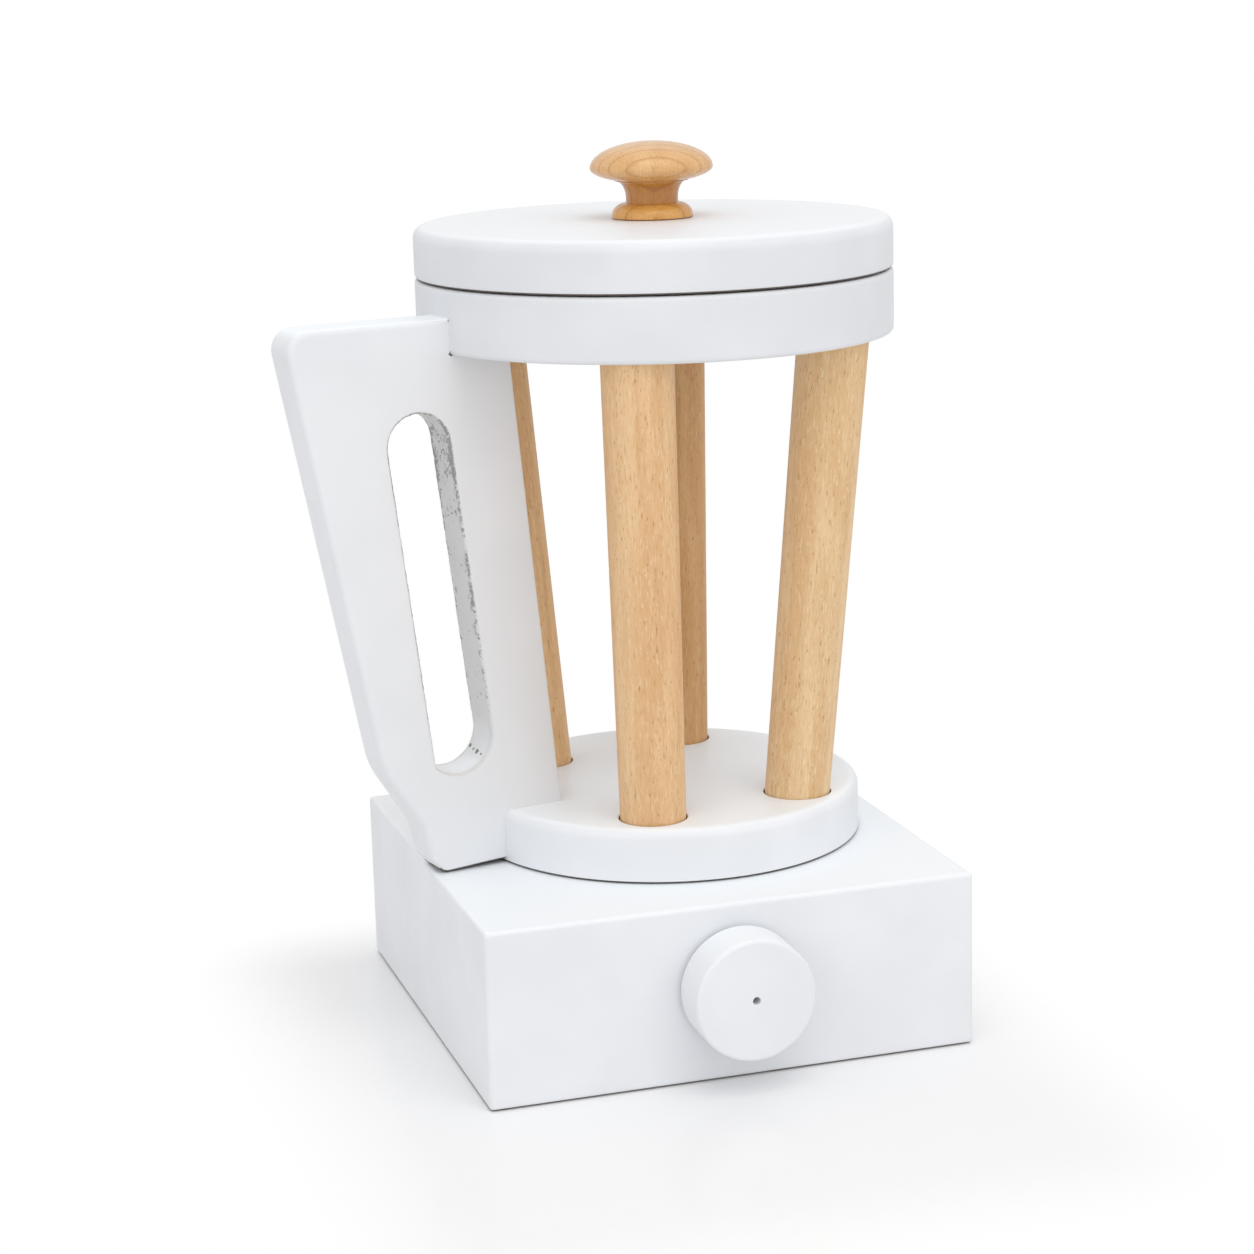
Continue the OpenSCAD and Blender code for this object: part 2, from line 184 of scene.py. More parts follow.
def objectMillimetres(tree, centre=(0, 0, 0), turn=0.0):
    # Object coordinates in millimetres, centred on a point and turned about Z
    place = addNode(tree, "ShaderNodeTexCoord").outputs["Object"]
    centred = vectorMaths(tree, "SUBTRACT", place, Vector(centre) * mm)
    return addNode(tree, "ShaderNodeMapping", {"Vector": centred, "Rotation": (0, 0, turn),
                                               "Scale": (1 / mm, 1 / mm, 1 / mm)}).outputs["Vector"]


def stretched(tree, vector, scale):
    return vectorMaths(tree, "MULTIPLY", vector, scale)


def noiseOf(tree, vector, scale, detail=2.0, roughness=0.5, distortion=0.0):
    return addNode(tree, "ShaderNodeTexNoise", {
        "Vector": vector, "Scale": scale, "Detail": detail, "Roughness": roughness,
        "Distortion": distortion}).outputs["Fac"]


def attributeOf(tree, name):
    return addNode(tree, "ShaderNodeAttribute", attribute_name=name).outputs


def bumpOf(tree, height, distance, strength=1.0, normal=None):
    inputs = {"Height": height, "Distance": distance * mm, "Strength": strength}
    if normal:
        inputs["Normal"] = normal
    return addNode(tree, "ShaderNodeBump", inputs).outputs["Normal"]


# white paint, brushed on; a pattern of noise is (scale, detail, roughness, distortion)
paintLook = {
    "light": (0.835, 0.850, 0.880),
    "dull": (0.800, 0.815, 0.842),
    "top": (0.890, 0.925, 0.960),  # painted highlight: faces that look up are painted lighter, as if lit from above
    "paintedHighlightFacing": (0.6, 0.97),    # the normal's height at which that begins and is full
    "clouds": (0.035, 2),
    "roughness": (0.36, 0.47),
    "peel": (1.1, 3, 0.55),
    "peelHeight": 0.016,      # height of the fine texture
    "brush": (0.9, 2),
    "brushStretch": (0.5, 0.5, 0.12),
    "waves": (0.05, 1),
    "waveHeight": 0.10,       # height of the broad waves that the brush leaves
    "speck": (0.36, 0.36, 0.37),
    "speckReach": (0.010, 0.016),
    "speckScale": 0.045,
    "speckShare": 0.30,       # how many of the cells have a speck
    "bare": (0.20, 0.19, 0.18),    # places where the paint has come off
    "ragged": (1.4, 2),       # their outline
    "gapShade": (0.085, 0.065, 0.050),  # painted shade: near-black low on the edges that rest on something, standing in for the shade in the gap under them
    "downward": (-0.35, -0.55),    # the normal's height at which that begins and is full
    "gapShadeRim": 0.8,            # width of its inner border
    "core": 0.7,              # the share of either, lost paint or painted gap shade, that is at full strength
}
# painted shade: the same white paint made darker for the ring, the lid and its plug and the paint beads
shadedRingPaintLook = {
    **paintLook,
    "light": (0.765, 0.780, 0.808),
    "dull": (0.732, 0.747, 0.774),
    # painted highlight for faces that look up
    "top": (0.845, 0.860, 0.885),
}
# painted shade: the same white paint, a little darker for the handle plate
shadedHandlePaintLook = {
    **paintLook,
    "light": (0.810, 0.825, 0.850),
    "dull": (0.780, 0.795, 0.820),
}
slotPaintLook = {
    "wall": (0.73, 0.735, 0.74),   # thin paint on the slot's wall
    "wallFrom": (0.02, 0.12),      # the wear from which the wall counts
    "scuff": (0.36, 0.355, 0.35),
    "grit": 0.78,             # what grit, patches and wear add to a place
    "patches": 0.40,
    "wear": 0.30,
    "gritNoise": (1.0, 4, 0.75, 0.4),
    "patchNoise": (0.24, 2),
    "scuffFrom": (0.775, 0.81),    # the sum from which the paint is gone
    "dullness": 0.3,
    "grain": 0.25,            # heights of the grit and depth of the scuffs
    "pits": 0.12,
}


def dustSpecks(tree, place, look):
    dust = addNode(tree, "ShaderNodeTexVoronoi", {"Vector": place, "Scale": look["speckScale"]},
                   feature="F1").outputs
    near = ramp(tree, dust["Distance"], *look["speckReach"], 1, 0)
    picked = addNode(tree, "ShaderNodeSeparateColor", {"Color": dust["Color"]}).outputs["Red"]
    few = ramp(tree, picked, look["speckShare"], look["speckShare"] + 0.01, 1, 0)
    return maths(tree, "MULTIPLY", near, few)


def wornSlot(tree, place, look, colour, roughness, normal):
    wear = attributeOf(tree, "wear")["Fac"]
    grit = noiseOf(tree, place, *look["gritNoise"])
    patches = noiseOf(tree, place, *look["patchNoise"])
    total = maths(tree, "MULTIPLY_ADD", patches, look["patches"], maths(tree, "MULTIPLY", grit, look["grit"]))
    total = maths(tree, "MULTIPLY_ADD", wear, look["wear"], total)
    onWall = ramp(tree, wear, *look["wallFrom"])
    scuffs = maths(tree, "MULTIPLY", ramp(tree, total, *look["scuffFrom"]), onWall)
    colour = mixColours(tree, onWall, colour, look["wall"])
    colour = mixColours(tree, scuffs, colour, look["scuff"])
    normal = bumpOf(tree, maths(tree, "MULTIPLY", grit, onWall), look["grain"], 0.8, normal)
    normal = bumpOf(tree, maths(tree, "MULTIPLY", scuffs, -1), look["pits"], 1, normal)
    return colour, maths(tree, "MULTIPLY_ADD", onWall, look["dullness"], roughness), normal


def lostPaint(tree, place, look, colour, lost):
    # ragged patches round the given points, each with its radius
    noiseMiddle = Vector((0.5, 0.5, 0.5))
    scale, detail = look["ragged"]
    shift = addNode(tree, "ShaderNodeTexNoise", {"Vector": place, "Scale": scale, "Detail": detail})
    ragged = vectorMaths(tree, "ADD", shift.outputs["Color"], place)
    for point, size in lost:
        away = vectorMaths(tree, "DISTANCE", ragged, Vector(point) + noiseMiddle)
        gone = ramp(tree, away, size, size * look["core"])
        colour = mixColours(tree, gone, colour, look["bare"])
    return colour


def gapShadeEdge(tree, place, look, colour, facing, foot, reach, inner):
    # painted shade: what looks down is darkened, up to the reach above the foot and from the inner radius out
    height = partsOf(tree, place)["Z"]
    low = maths(tree, "MULTIPLY", ramp(tree, height, foot + reach, foot + reach * look["core"]),
                ramp(tree, facing, *look["downward"]))
    away = vectorMaths(tree, "LENGTH", stretched(tree, objectMillimetres(tree, jarCentre), (1, 1, 0)))
    gapShade = maths(tree, "MULTIPLY", low, ramp(tree, away, inner - look["gapShadeRim"], inner))
    return mixColours(tree, gapShade, colour, look["gapShade"])


def paintMaterial(name, look, slotLook=None, underside=None, lost=()):
    material, tree = newMaterial(name)
    place = objectMillimetres(tree)
    clouds = noiseOf(tree, place, *look["clouds"])
    colour = mixColours(tree, ramp(tree, clouds, 0.35, 0.65), look["light"], look["dull"])
    facing = partsOf(tree, addNode(tree, "ShaderNodeNewGeometry").outputs["Normal"])["Z"]
    # painted highlight: faces that look up turn lighter, as if lit from above
    colour = mixColours(tree, ramp(tree, facing, *look["paintedHighlightFacing"]), colour, look["top"])
    colour = mixColours(tree, dustSpecks(tree, place, look), colour, look["speck"])
    peel = noiseOf(tree, place, *look["peel"])
    brush = noiseOf(tree, stretched(tree, place, look["brushStretch"]), *look["brush"])
    roughness = ramp(tree, brush, 0.3, 0.7, *look["roughness"])
    normal = bumpOf(tree, noiseOf(tree, place, *look["waves"]), look["waveHeight"])
    normal = bumpOf(tree, maths(tree, "MULTIPLY_ADD", brush, peel, peel), look["peelHeight"], 1, normal)
    if slotLook:
        colour, roughness, normal = wornSlot(tree, place, slotLook, colour, roughness, normal)
    if lost:
        colour = lostPaint(tree, place, look, colour, lost)
    if underside:
        colour = gapShadeEdge(tree, place, look, colour, facing, *underside)
    setShader(material, {"Base Color": colour, "Roughness": roughness, "Normal": normal})
    return material


# wood; each pattern of its grain is (stretch, detail, roughness, distortion)
woodGrain = {
    "streaks": ((0.17, 0.17, 0.016), 3, 0.55, 0.5),
    "bands": ((0.36, 0.36, 0.02), 1, 0.5, 0.8),
    "fibres": ((2.1, 2.1, 0.34), 3, 0.65, 0.3),
    "dashes": ((1.9, 1.9, 0.42), 2, 0.6),
}
woodBands = {                 # where they begin and are full, least and most strength
    "rings": (0.74, 0.98, 0, 0.70),
    "bands": (0.56, 0.70, 0, 0.32),
}
woodStrokes = [               # pattern, where its strokes begin and are full, strength, colour
    ("fibres", 0.52, 0.72, 0.55, "fleck"),
    ("fibres", 0.47, 0.30, 0.60, "band"),
    ("dashes", 0.61, 0.72, 0.65, "pore"),
]
dowelLook = {
    "light": (0.790, 0.520, 0.270),
    "middle": (0.710, 0.430, 0.200),
    "band": (0.630, 0.355, 0.150),
    "pore": (0.400, 0.170, 0.050),
    "fleck": (0.880, 0.680, 0.430),
    "speckle": 1.0,           # strength of the fine strokes
    "roughness": (0.42, 0.56),
    "coat": 0.0,
    "poreDepth": 0.012,
}
knobLook = {
    "light": (0.740, 0.440, 0.190),
    "middle": (0.670, 0.370, 0.140),
    "band": (0.500, 0.235, 0.075),
    "pore": (0.320, 0.150, 0.050),
    "fleck": (0.800, 0.560, 0.290),
    "speckle": 0.55,
    "roughness": (0.24, 0.36),
    "coat": 0.35,
    "poreDepth": 0.010,
    "neck": (0.72, 0.54, 0.24),    # these darken the wood below the head, each from its own height: painted shade under the head, a darker foot and a painted contact shadow where it sits on the lid
    "foot": (0.92, 0.79, 0.44),
    "contactShadow": (0.30, 0.22, 0.16),
    "neckFade": (-0.8, 0.2),       # from full to none, measured from that height
    "footFade": (-0.3, 0.5),
    "contactShadowFade": (0.15, 0.45),
    "ringSpacing": 3.3,
    "ringTurn": 12,
    "ringStretch": (0.35, 1, 0.5),
    "ringWaver": 2.4,
}


def grainOf(tree, place, key):
    stretch, *recipe = woodGrain[key]
    return noiseOf(tree, stretched(tree, place, stretch), 1.0, *recipe)


def dowelWood(name, look, paintedLightTone=(1, 1, 1)):
    # the tone makes a lit or shaded copy of the wood
    look = dict(look)
    for key in ("light", "middle", "band", "pore", "fleck"):
        look[key] = tuple(min(channel * share, 1) for channel, share in zip(look[key], paintedLightTone))
    material, tree = newMaterial(name)
    return finishWood(material, tree, attributeOf(tree, "grain")["Vector"], look)


def knobWood(name, look, centre, footTop, neckTop):
    material, tree = newMaterial(name)
    place = objectMillimetres(tree, centre, math.radians(look["ringTurn"]))
    waveTurns = 20.0  # the Wave texture turns through this angle in each unit of its scale
    rings = addNode(tree, "ShaderNodeTexWave",
                    {"Vector": stretched(tree, place, look["ringStretch"]), "Distortion": look["ringWaver"],
                     "Scale": 2 * math.pi / (waveTurns * look["ringSpacing"]),
                     "Detail": 2.0, "Detail Scale": 0.35, "Detail Roughness": 0.5},
                    bands_direction="Y", wave_profile="SAW")
    height = partsOf(tree, place)["Z"]
    shadeTint = (1, 1, 1)
    for key, top in (("neck", neckTop), ("foot", footTop), ("contactShadow", 0)):
        full, none = look[key + "Fade"]
        shadeTint = mixColours(tree, ramp(tree, height, top + none, top + full), shadeTint, look[key])
    return finishWood(material, tree, place, look, rings.outputs["Fac"], shadeTint)


def finishWood(material, tree, place, look, rings=None, shadeTint=None):
    # rings are the year rings of a turned piece; without them broad bands run along the grain
    grain = {key: grainOf(tree, place, key) for key in ("streaks", "fibres", "dashes")}
    colour = mixColours(tree, ramp(tree, grain["streaks"], 0.36, 0.64), look["light"], look["middle"])
    if rings:
        dark = ramp(tree, rings, *woodBands["rings"])
    else:
        dark = ramp(tree, grainOf(tree, place, "bands"), *woodBands["bands"])
    colour = mixColours(tree, dark, colour, look["band"])
    for key, low, high, strength, stroke in woodStrokes:
        share = ramp(tree, grain[key], low, high, 0, strength * look["speckle"])
        colour = mixColours(tree, share, colour, look[stroke])
    # painted shade by height on the knob
    if shadeTint:
        colour = mixColours(tree, 1.0, colour, shadeTint, "MULTIPLY")
    sunk = maths(tree, "MULTIPLY", ramp(tree, grain["dashes"], 0.63, 0.72), -1)
    normal = bumpOf(tree, grain["fibres"], look["poreDepth"] * 0.6)
    normal = bumpOf(tree, sunk, look["poreDepth"], 1, normal)
    setShader(material, {"Base Color": colour, "Normal": normal, "Coat Weight": look["coat"],
                         "Roughness": ramp(tree, grain["fibres"], 0.3, 0.7, *look["roughness"]),
                         "Coat Roughness": 0.16})
    return material


# the plain finishes: board, steel, felt and the wood inside a drilled hole, darkened as painted shade
boardLook = {
    "light": (0.62, 0.47, 0.30),
    "dark": (0.47, 0.33, 0.19),
    "contrast": (0.35, 0.65),
    "stretch": (0.35, 1.6, 1.6),
    "noise": (0.8, 5, 0.7),   # scale, detail and roughness of the pattern
    "relief": 0.12,
    "shader": {"Roughness": 0.72},
}
# painted shade: near-black wood for the inside of the dowel holes
holeShadeLook = {
    **boardLook,
    "light": (0.11, 0.075, 0.045),
    "dark": (0.05, 0.035, 0.022),
    "shader": {"Roughness": 0.85},
}
steelLook = {
    "light": (0.66, 0.66, 0.68),
    "dark": (0.46, 0.46, 0.48),
    "contrast": (0.3, 0.7),
    "stretch": (1, 1, 6),
    "noise": (0.9, 3, 0.5),
    "relief": 0.02,
    "gloss": (0.24, 0.42),    # roughness where the pattern is light and dark
    "shader": {"Metallic": 1},
}
feltLook = {
    "light": (0.055, 0.055, 0.060),
    "dark": (0.015, 0.015, 0.018),
    "contrast": (0.35, 0.65),
    "stretch": (1, 1, 1),
    "noise": (3.0, 5, 0.7),
    "relief": 0.2,
    "shader": {"Roughness": 0.95, "Sheen Weight": 0.3},
}


def plainMaterial(name, look):
    material, tree = newMaterial(name)
    pattern = noiseOf(tree, stretched(tree, objectMillimetres(tree), look["stretch"]), *look["noise"])
    colour = mixColours(tree, ramp(tree, pattern, *look["contrast"]), look["light"], look["dark"])
    setShader(material, {"Base Color": colour, "Normal": bumpOf(tree, pattern, look["relief"]),
                         **look["shader"]})
    if "gloss" in look:
        setShader(material, {"Roughness": ramp(tree, pattern, *look["contrast"], *look["gloss"])})
    return material


whitePaint = paintMaterial("whitePaint", paintLook)
# painted contact shadow along the base's lower edges
basePaint = paintMaterial("basePaint", paintLook, underside=(0, 0.5, 0))
shadedRingPaint = paintMaterial("shadedRingPaint", shadedRingPaintLook)
dowelMaterial = dowelWood("dowelWood", dowelLook)
boardFinish = plainMaterial("plainBoard", boardLook)
holeShadeWood = plainMaterial("holeShadeWood", holeShadeLook)
screwSteel = plainMaterial("screwSteel", steelLook)
spacerFelt = plainMaterial("spacerFelt", feltLook)
print("finishes made")


# mesh helpers, all in millimetres
sharpAngle = 32     # degrees: edges that turn by more stay crisp
mergeGap = 0.0005   # points closer than this become one
arcSteps = 6
cutterSides = 64
cutterBeyond = 1    # how far a cutter reaches out of what it cuts


def quarter(steps, first=0):
    # (cosine, sine) of the steps through a quarter of a turn
    turns = [math.pi / 2 * step / steps for step in range(first, steps + 1)]
    return [(math.cos(turn), math.sin(turn)) for turn in turns]


def ringOf(bm, points):
    return [bm.verts.new(point) for point in points]


def bridge(bm, rings):
    # quads between closed rings, or triangles where one of them is a single point
    for first, second in zip(rings, rings[1:]):
        count = max(len(first), len(second))
        for i in range(count):
            j = (i + 1) % count
            corners = (first[i % len(first)], first[j % len(first)],
                       second[j % len(second)], second[i % len(second)])
            bm.faces.new(list(dict.fromkeys(corners)))


def circlePoints(radius, height, count):
    if radius == 0:
        return [(0, 0, height)]
    turns = [2 * math.pi * i / count for i in range(count)]
    return [(radius * math.cos(t), radius * math.sin(t), height) for t in turns]


def lathe(bm, profile, count, closed=False):
    rings = [ringOf(bm, circlePoints(radius, height, count)) for radius, height in profile]
    bridge(bm, rings + rings[:1] if closed else rings)
    return rings


def turnedMesh(name, profile, count, place, closed=True):
    bm = bmesh.new()
    lathe(bm, profile, count, closed)
    return finishMesh(bm, name, place)


def fillFlat(bm, loops, normal):
    edges = []
    for loop in loops:
        for a, b in zip(loop, loop[1:] + loop[:1]):
            edges.append(bm.edges.get((a, b)) or bm.edges.new((a, b)))
    bmesh.ops.triangle_fill(bm, use_beauty=True, edges=edges, normal=normal)


def cornerArc(before, corner, after, radius, ease, steps):
    # the arc that rounds a corner, with a point just before and just after it
    toBefore = (before - corner).normalized()
    toAfter = (after - corner).normalized()
    half = toBefore.angle(toAfter) / 2
    reach = radius / math.tan(half)
    centre = corner + (toBefore + toAfter).normalized() * radius / math.sin(half)
    start = corner + toBefore * reach - centre
    turn = math.pi - 2 * half
    if toBefore.x * toAfter.y - toBefore.y * toAfter.x > 0:
        turn = -turn
    arc = []
    for i in range(steps + 1):
        angle = turn * i / steps
        arc.append(centre + Vector((start.x * math.cos(angle) - start.y * math.sin(angle),
                                    start.x * math.sin(angle) + start.y * math.cos(angle))))
    if ease:
        arc.insert(0, corner + toBefore * (reach + ease))
        arc.append(corner + toAfter * (reach + ease))
    return arc


def roundPath(corners, closed=False, ease=0.5):
    # corners are (x, y, radius)
    points = []
    last = len(corners) - 1
    for i, (x, y, radius) in enumerate(corners):
        if radius == 0 or (not closed and i in (0, last)):
            points.append(Vector((x, y)))
            continue
        before = Vector(corners[i - 1][:2])
        after = Vector(corners[(i + 1) % len(corners)][:2])
        points += cornerArc(before, Vector((x, y)), after, radius, ease, arcSteps)
    return points


def ripple(bm, shape, shift=0.0):
    # a hand-sanded surface: every point sinks by up to the depth of the waves
    bm.normal_update()
    moves = []
    for vert in bm.verts:
        share = 0.5 + 0.5 * noise.noise(vert.co / shape["waveLength"] + Vector((shift, shift, shift)))
        moves.append(-vert.normal * shape["waveDepth"] * min(max(share, 0), 1))
    for vert, move in zip(bm.verts, moves):
        vert.co += move


def softenFaces(bm, sharp):
    for face in bm.faces:
        face.smooth = True
    limit = math.radians(sharp)
    for edge in bm.edges:
        edge.smooth = edge.calc_face_angle(0) < limit


def closeSkin(bm):
    bmesh.ops.remove_doubles(bm, verts=bm.verts, dist=mergeGap)
    bmesh.ops.recalc_face_normals(bm, faces=bm.faces)


def finishMesh(bm, name, place=Matrix.Identity(4)):
    closeSkin(bm)
    bm.transform(Matrix.Scale(mm, 4) @ place)
    softenFaces(bm, sharpAngle)
    mesh = bpy.data.meshes.new(name)
    bm.to_mesh(mesh)
    bm.free()
    return mesh


def reworkMesh(mesh, place=Matrix.Identity(4), sharp=sharpAngle):
    bm = bmesh.new()
    bm.from_mesh(mesh)
    bm.transform(place)
    softenFaces(bm, sharp)
    bm.to_mesh(mesh)
    bm.free()
    return mesh


def addPiece(name, mesh, material, body, slotName, *nodes):
    if not mesh.materials:
        mesh.materials.append(material)
    piece = newObject(name, mesh)
    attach(piece, body)
    if nodes:
        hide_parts(*nodes)


def evaluatedMesh(item, name):
    graph = bpy.context.evaluated_depsgraph_get()
    mesh = bpy.data.meshes.new_from_object(item.evaluated_get(graph), preserve_all_data_layers=True,
                                           depsgraph=graph)
    mesh.name = name
    return mesh


def cutHoles(mesh, *cutters):
    # each cutter is a mesh whose shape is taken away
    item = newObject("cutItem", mesh)
    tools = [newObject("cutTool", cutter) for cutter in cutters]
    for tool in tools:
        modifier = item.modifiers.new("cut", "BOOLEAN")
        modifier.object = tool
        modifier.operation = "DIFFERENCE"
        modifier.solver = "EXACT"
    result = evaluatedMesh(item, mesh.name)
    for used in (item, *tools):
        bpy.data.objects.remove(used)
    return reworkMesh(result)


def boreMesh(diameter, low, high, place, chamfer=0.0):
    # a round cutter from low to high along its own axis, wider by the chamfer at the upper end
    radius = diameter / 2
    profile = [(0, low), (radius, low), (radius, high)]
    if chamfer:
        wide = radius + chamfer
        profile[2:] = [(radius, high - chamfer), (wide, high), (wide, high + cutterBeyond)]
    profile.append((0, profile[-1][1]))
    return turnedMesh("bore", profile, cutterSides, place, False)


# base: a box of painted boards
baseShape = {
    "edge": 1.2,              # rounding of the outer edges
    "rounding": 4,            # steps in half of that rounding
    "spacing": 5.0,
    "ease": 0.6,
    "waveDepth": 0.07,
    "waveLength": 26.0,
    "pegHole": 12.16,
    "pegHoleDepth": 8,
    "pegHoleChamfer": 0.45,
    "screwHole": 4.16,
}

topLow, topHigh = cadBox("base_top_board")
frontLow, frontHigh = cadBox("base_front_board")
baseHalf = Vector((topHigh.x, topHigh.y, topHigh.z / 2))
outOfFront = Matrix.Translation(dialCentre) @ Matrix.Rotation(math.pi / 2, 4, "X")


def axisMarks(half, shape):
    # places along one edge of the block: close together in the rounding, even between
    flat = half - shape["edge"]
    steps = shape["rounding"]
    outer = [flat + shape["edge"] * math.tan(math.pi / 4 * i / steps) for i in range(steps + 1)]
    parts = round(2 * (flat - shape["ease"]) / shape["spacing"])
    inner = [(flat - shape["ease"]) * (2 * i / parts - 1) for i in range(parts + 1)]
    return [-mark for mark in reversed(outer)] + inner + outer


def roundedBlock(half, shape):
    bm = bmesh.new()
    marks = [axisMarks(half[axis], shape) for axis in range(3)]
    core = Vector([half[axis] - shape["edge"] for axis in range(3)])
    for axis in range(3):
        across, along = (axis + 1) % 3, (axis + 2) % 3
        for side in (-1, 1):
            grid = []
            for a in marks[across]:
                row = []
                for b in marks[along]:
                    point = Vector((0, 0, 0))
                    point[axis], point[across], point[along] = side * half[axis], a, b
                    inside = Vector([min(max(point[k], -core[k]), core[k]) for k in range(3)])
                    row.append(bm.verts.new(inside + (point - inside).normalized() * shape["edge"]))
                grid.append(row)
            for first, second in zip(grid, grid[1:]):
                for j in range(len(first) - 1):
                    bm.faces.new((first[j], second[j], second[j + 1], first[j + 1]))
    closeSkin(bm)
    return bm


def boardMesh(block, name, planes):
    # the block cut by planes: what lies beyond each plane goes, and the cut is closed
    bm = block.copy()
    for point, normal in planes:
        cut = bmesh.ops.bisect_plane(bm, geom=bm.verts[:] + bm.edges[:] + bm.faces[:], dist=0.0001,
                                     plane_co=point, plane_no=normal, clear_outer=True)
        edges = [item for item in cut["geom_cut"] if isinstance(item, bmesh.types.BMEdge)]
        bmesh.ops.edgeloop_fill(bm, edges=edges)
    return finishMesh(bm, name, Matrix.Translation((0, 0, baseHalf.z)))


def buildBase(shape):
    block = roundedBlock(baseHalf, shape)
    ripple(block, shape)
    under = (0, 0, topLow.z - baseHalf.z)         # the joint under the top board
    frontSeam = (0, frontHigh.y, 0)
    backSeam = (0, cadBox("base_back_board")[0].y, 0)
    leftSeam = (cadBox("base_left_board")[1].x, 0, 0)
    rightSeam = (cadBox("base_right_board")[0].x, 0, 0)
    left, right, front, back = (-1, 0, 0), (1, 0, 0), (0, -1, 0), (0, 1, 0)
    up, down = (0, 0, 1), (0, 0, -1)
    boards = {
        "top": [(under, down)],
        "front": [(under, up), (frontSeam, back)],
        "back": [(under, up), (backSeam, front)],
        "left": [(under, up), (frontSeam, front), (backSeam, back), (leftSeam, right)],
        "right": [(under, up), (frontSeam, front), (backSeam, back), (rightSeam, left)],
    }
    cutters = {
        "top": boreMesh(shape["pegHole"], -shape["pegHoleDepth"], 0, onJarAxis(topHigh.z),
                        shape["pegHoleChamfer"]),
        "front": boreMesh(shape["screwHole"], frontLow.y - frontHigh.y - cutterBeyond, cutterBeyond,
                          outOfFront),
    }
    for board, planes in boards.items():
        mesh = boardMesh(block, board + "Board", planes)
        if board in cutters:
            mesh = cutHoles(mesh, cutters[board])
        addPiece(board + "Board", mesh, basePaint, "base", "white_paint", f"base_{board}_board")
    block.free()


buildBase(baseShape)
print("base boards made")


# dial
dialShape = {
    "face": 0.9,              # rounding of the front edge
    "back": 0.8,
    "bore": 4.1,
    "boreEdge": 0.2,
    "pilot": 2.0,
    "pilotDepth": 4.4,
    "lip": 0.18,              # soft rim of the small hole
    "dish": 0.12,             # the face is a touch hollow
    "dishShare": 0.55,        # within this share of its radius
    "dishRound": 4,
    "sides": 128,
}


def buildDial(shape):
    low, high = cadBox("dial_knob")
    radius = boxRadius("dial_knob")
    back, face = frontLow.y - high.y, frontLow.y - low.y  # distances out from the front board
    bore, pilot = shape["bore"] / 2, shape["pilot"] / 2
    step = face - shape["pilotDepth"]
    hollow = face - shape["dish"]
    corners = [
        (bore, back, shape["boreEdge"]), (radius, back, shape["back"]), (radius, face, shape["face"]),
        (radius * shape["dishShare"], hollow, shape["dishRound"]), (pilot, hollow, shape["lip"]),
        (pilot, step, 0), (bore, step, 0),
    ]
    mesh = turnedMesh("dialKnob", roundPath(corners, True, 0.3), shape["sides"], outOfFront)
    addPiece("dialKnob", mesh, whitePaint, "dial", "white_paint", "dial_knob")


buildDial(dialShape)
print("dial made")


# the jar stands turned on the base; its handle points along its own -X
ringLow, ringHigh = cadBox("jar_ring")
discLow, discHigh = cadBox("jar_disc")
pinLow, pinHigh = cadBox("handle_ring_pin")
pinMiddle = (pinLow + pinHigh) / 2
jarTurn = math.atan2(jarCentre.y - pinMiddle.y, jarCentre.x - pinMiddle.x)
jarPlace = onJarAxis(discLow.z) @ Matrix.Rotation(jarTurn, 4, "Z")
discRadius, discThick = boxRadius("jar_disc"), discHigh.z - discLow.z
ringRadius, ringThick = boxRadius("jar_ring"), ringHigh.z - ringLow.z
ringFoot = ringLow.z - discLow.z
handleRise = 9.0  # the plate reaches this far up the ring's rim
plateTop = ringFoot + handleRise
pinPlaces = {                 # radius and height of each pin's middle on the jar
    "Disc": (discRadius, discThick / 2),
    "Ring": (ringRadius, ringFoot + handleRise / 2),
}
pinHole = 5.1
barSides = 96
gapShadeReach = 1.4  # how far up the jar's lower edges are darkened as painted gap shade
gapShadeWidth = 4.0  # and how far in

dowels = {
    "angles": {"front_left": 236, "front_right": -56, "back_right": 56, "back_left": 124},
    "footReach": 38.0,        # centre line from the jar's axis at the disc
    "topReach": 49.3,         # and at the ring
    "footRadius": 8.4,
    "topRadius": 9.0,
    "footDepth": 8.0,
    "topDepth": 7.0,
    "footGap": 0.25,
    "topGap": 0.05,
    "endGap": 0.1,            # left at the bottom of each hole
    "lipSteps": 5,
    "rimFlat": 0.1,           # flat border round a hole's soft lip
    "wallStart": 0.6,         # depth below the lip at which a hole's straight wall starts
    "unevenness": 0.10,
    "segments": 110,
    # painted light and shade: each dowel's wood is made lighter or darker as it is lit, the back right one
    # shaded
    "paintedLightTones": {"front_left": (1.02, 1.02, 1.05), "front_right": (1.02, 1.09, 1.18),
              "back_right": (0.82, 0.74, 0.63), "back_left": (1.0, 1.0, 1.0)},
}
dowelTilt = math.atan((dowels["topReach"] - dowels["footReach"]) / (ringFoot - discThick))
dowelLength = (ringFoot - discThick) / math.cos(dowelTilt)


def dowelPlace(angle):
    # local +Z runs up the dowel from where its centre line leaves the disc
    return (Matrix.Rotation(math.radians(angle), 4, "Z")
            @ Matrix.Translation((dowels["footReach"], 0, discThick))
            @ Matrix.Rotation(dowelTilt, 4, "Y"))


def dowelLoop(angle, radius, height):
    # where a round bar of this radius along the dowel crosses the level at this height
    place = dowelPlace(angle)
    points = []
    for i in range(barSides):
        turn = 2 * math.pi * i / barSides
        along = (height - discThick + radius * math.cos(turn) * math.sin(dowelTilt)) / math.cos(dowelTilt)
        points.append(place @ Vector((radius * math.cos(turn), radius * math.sin(turn), along)))
    return points


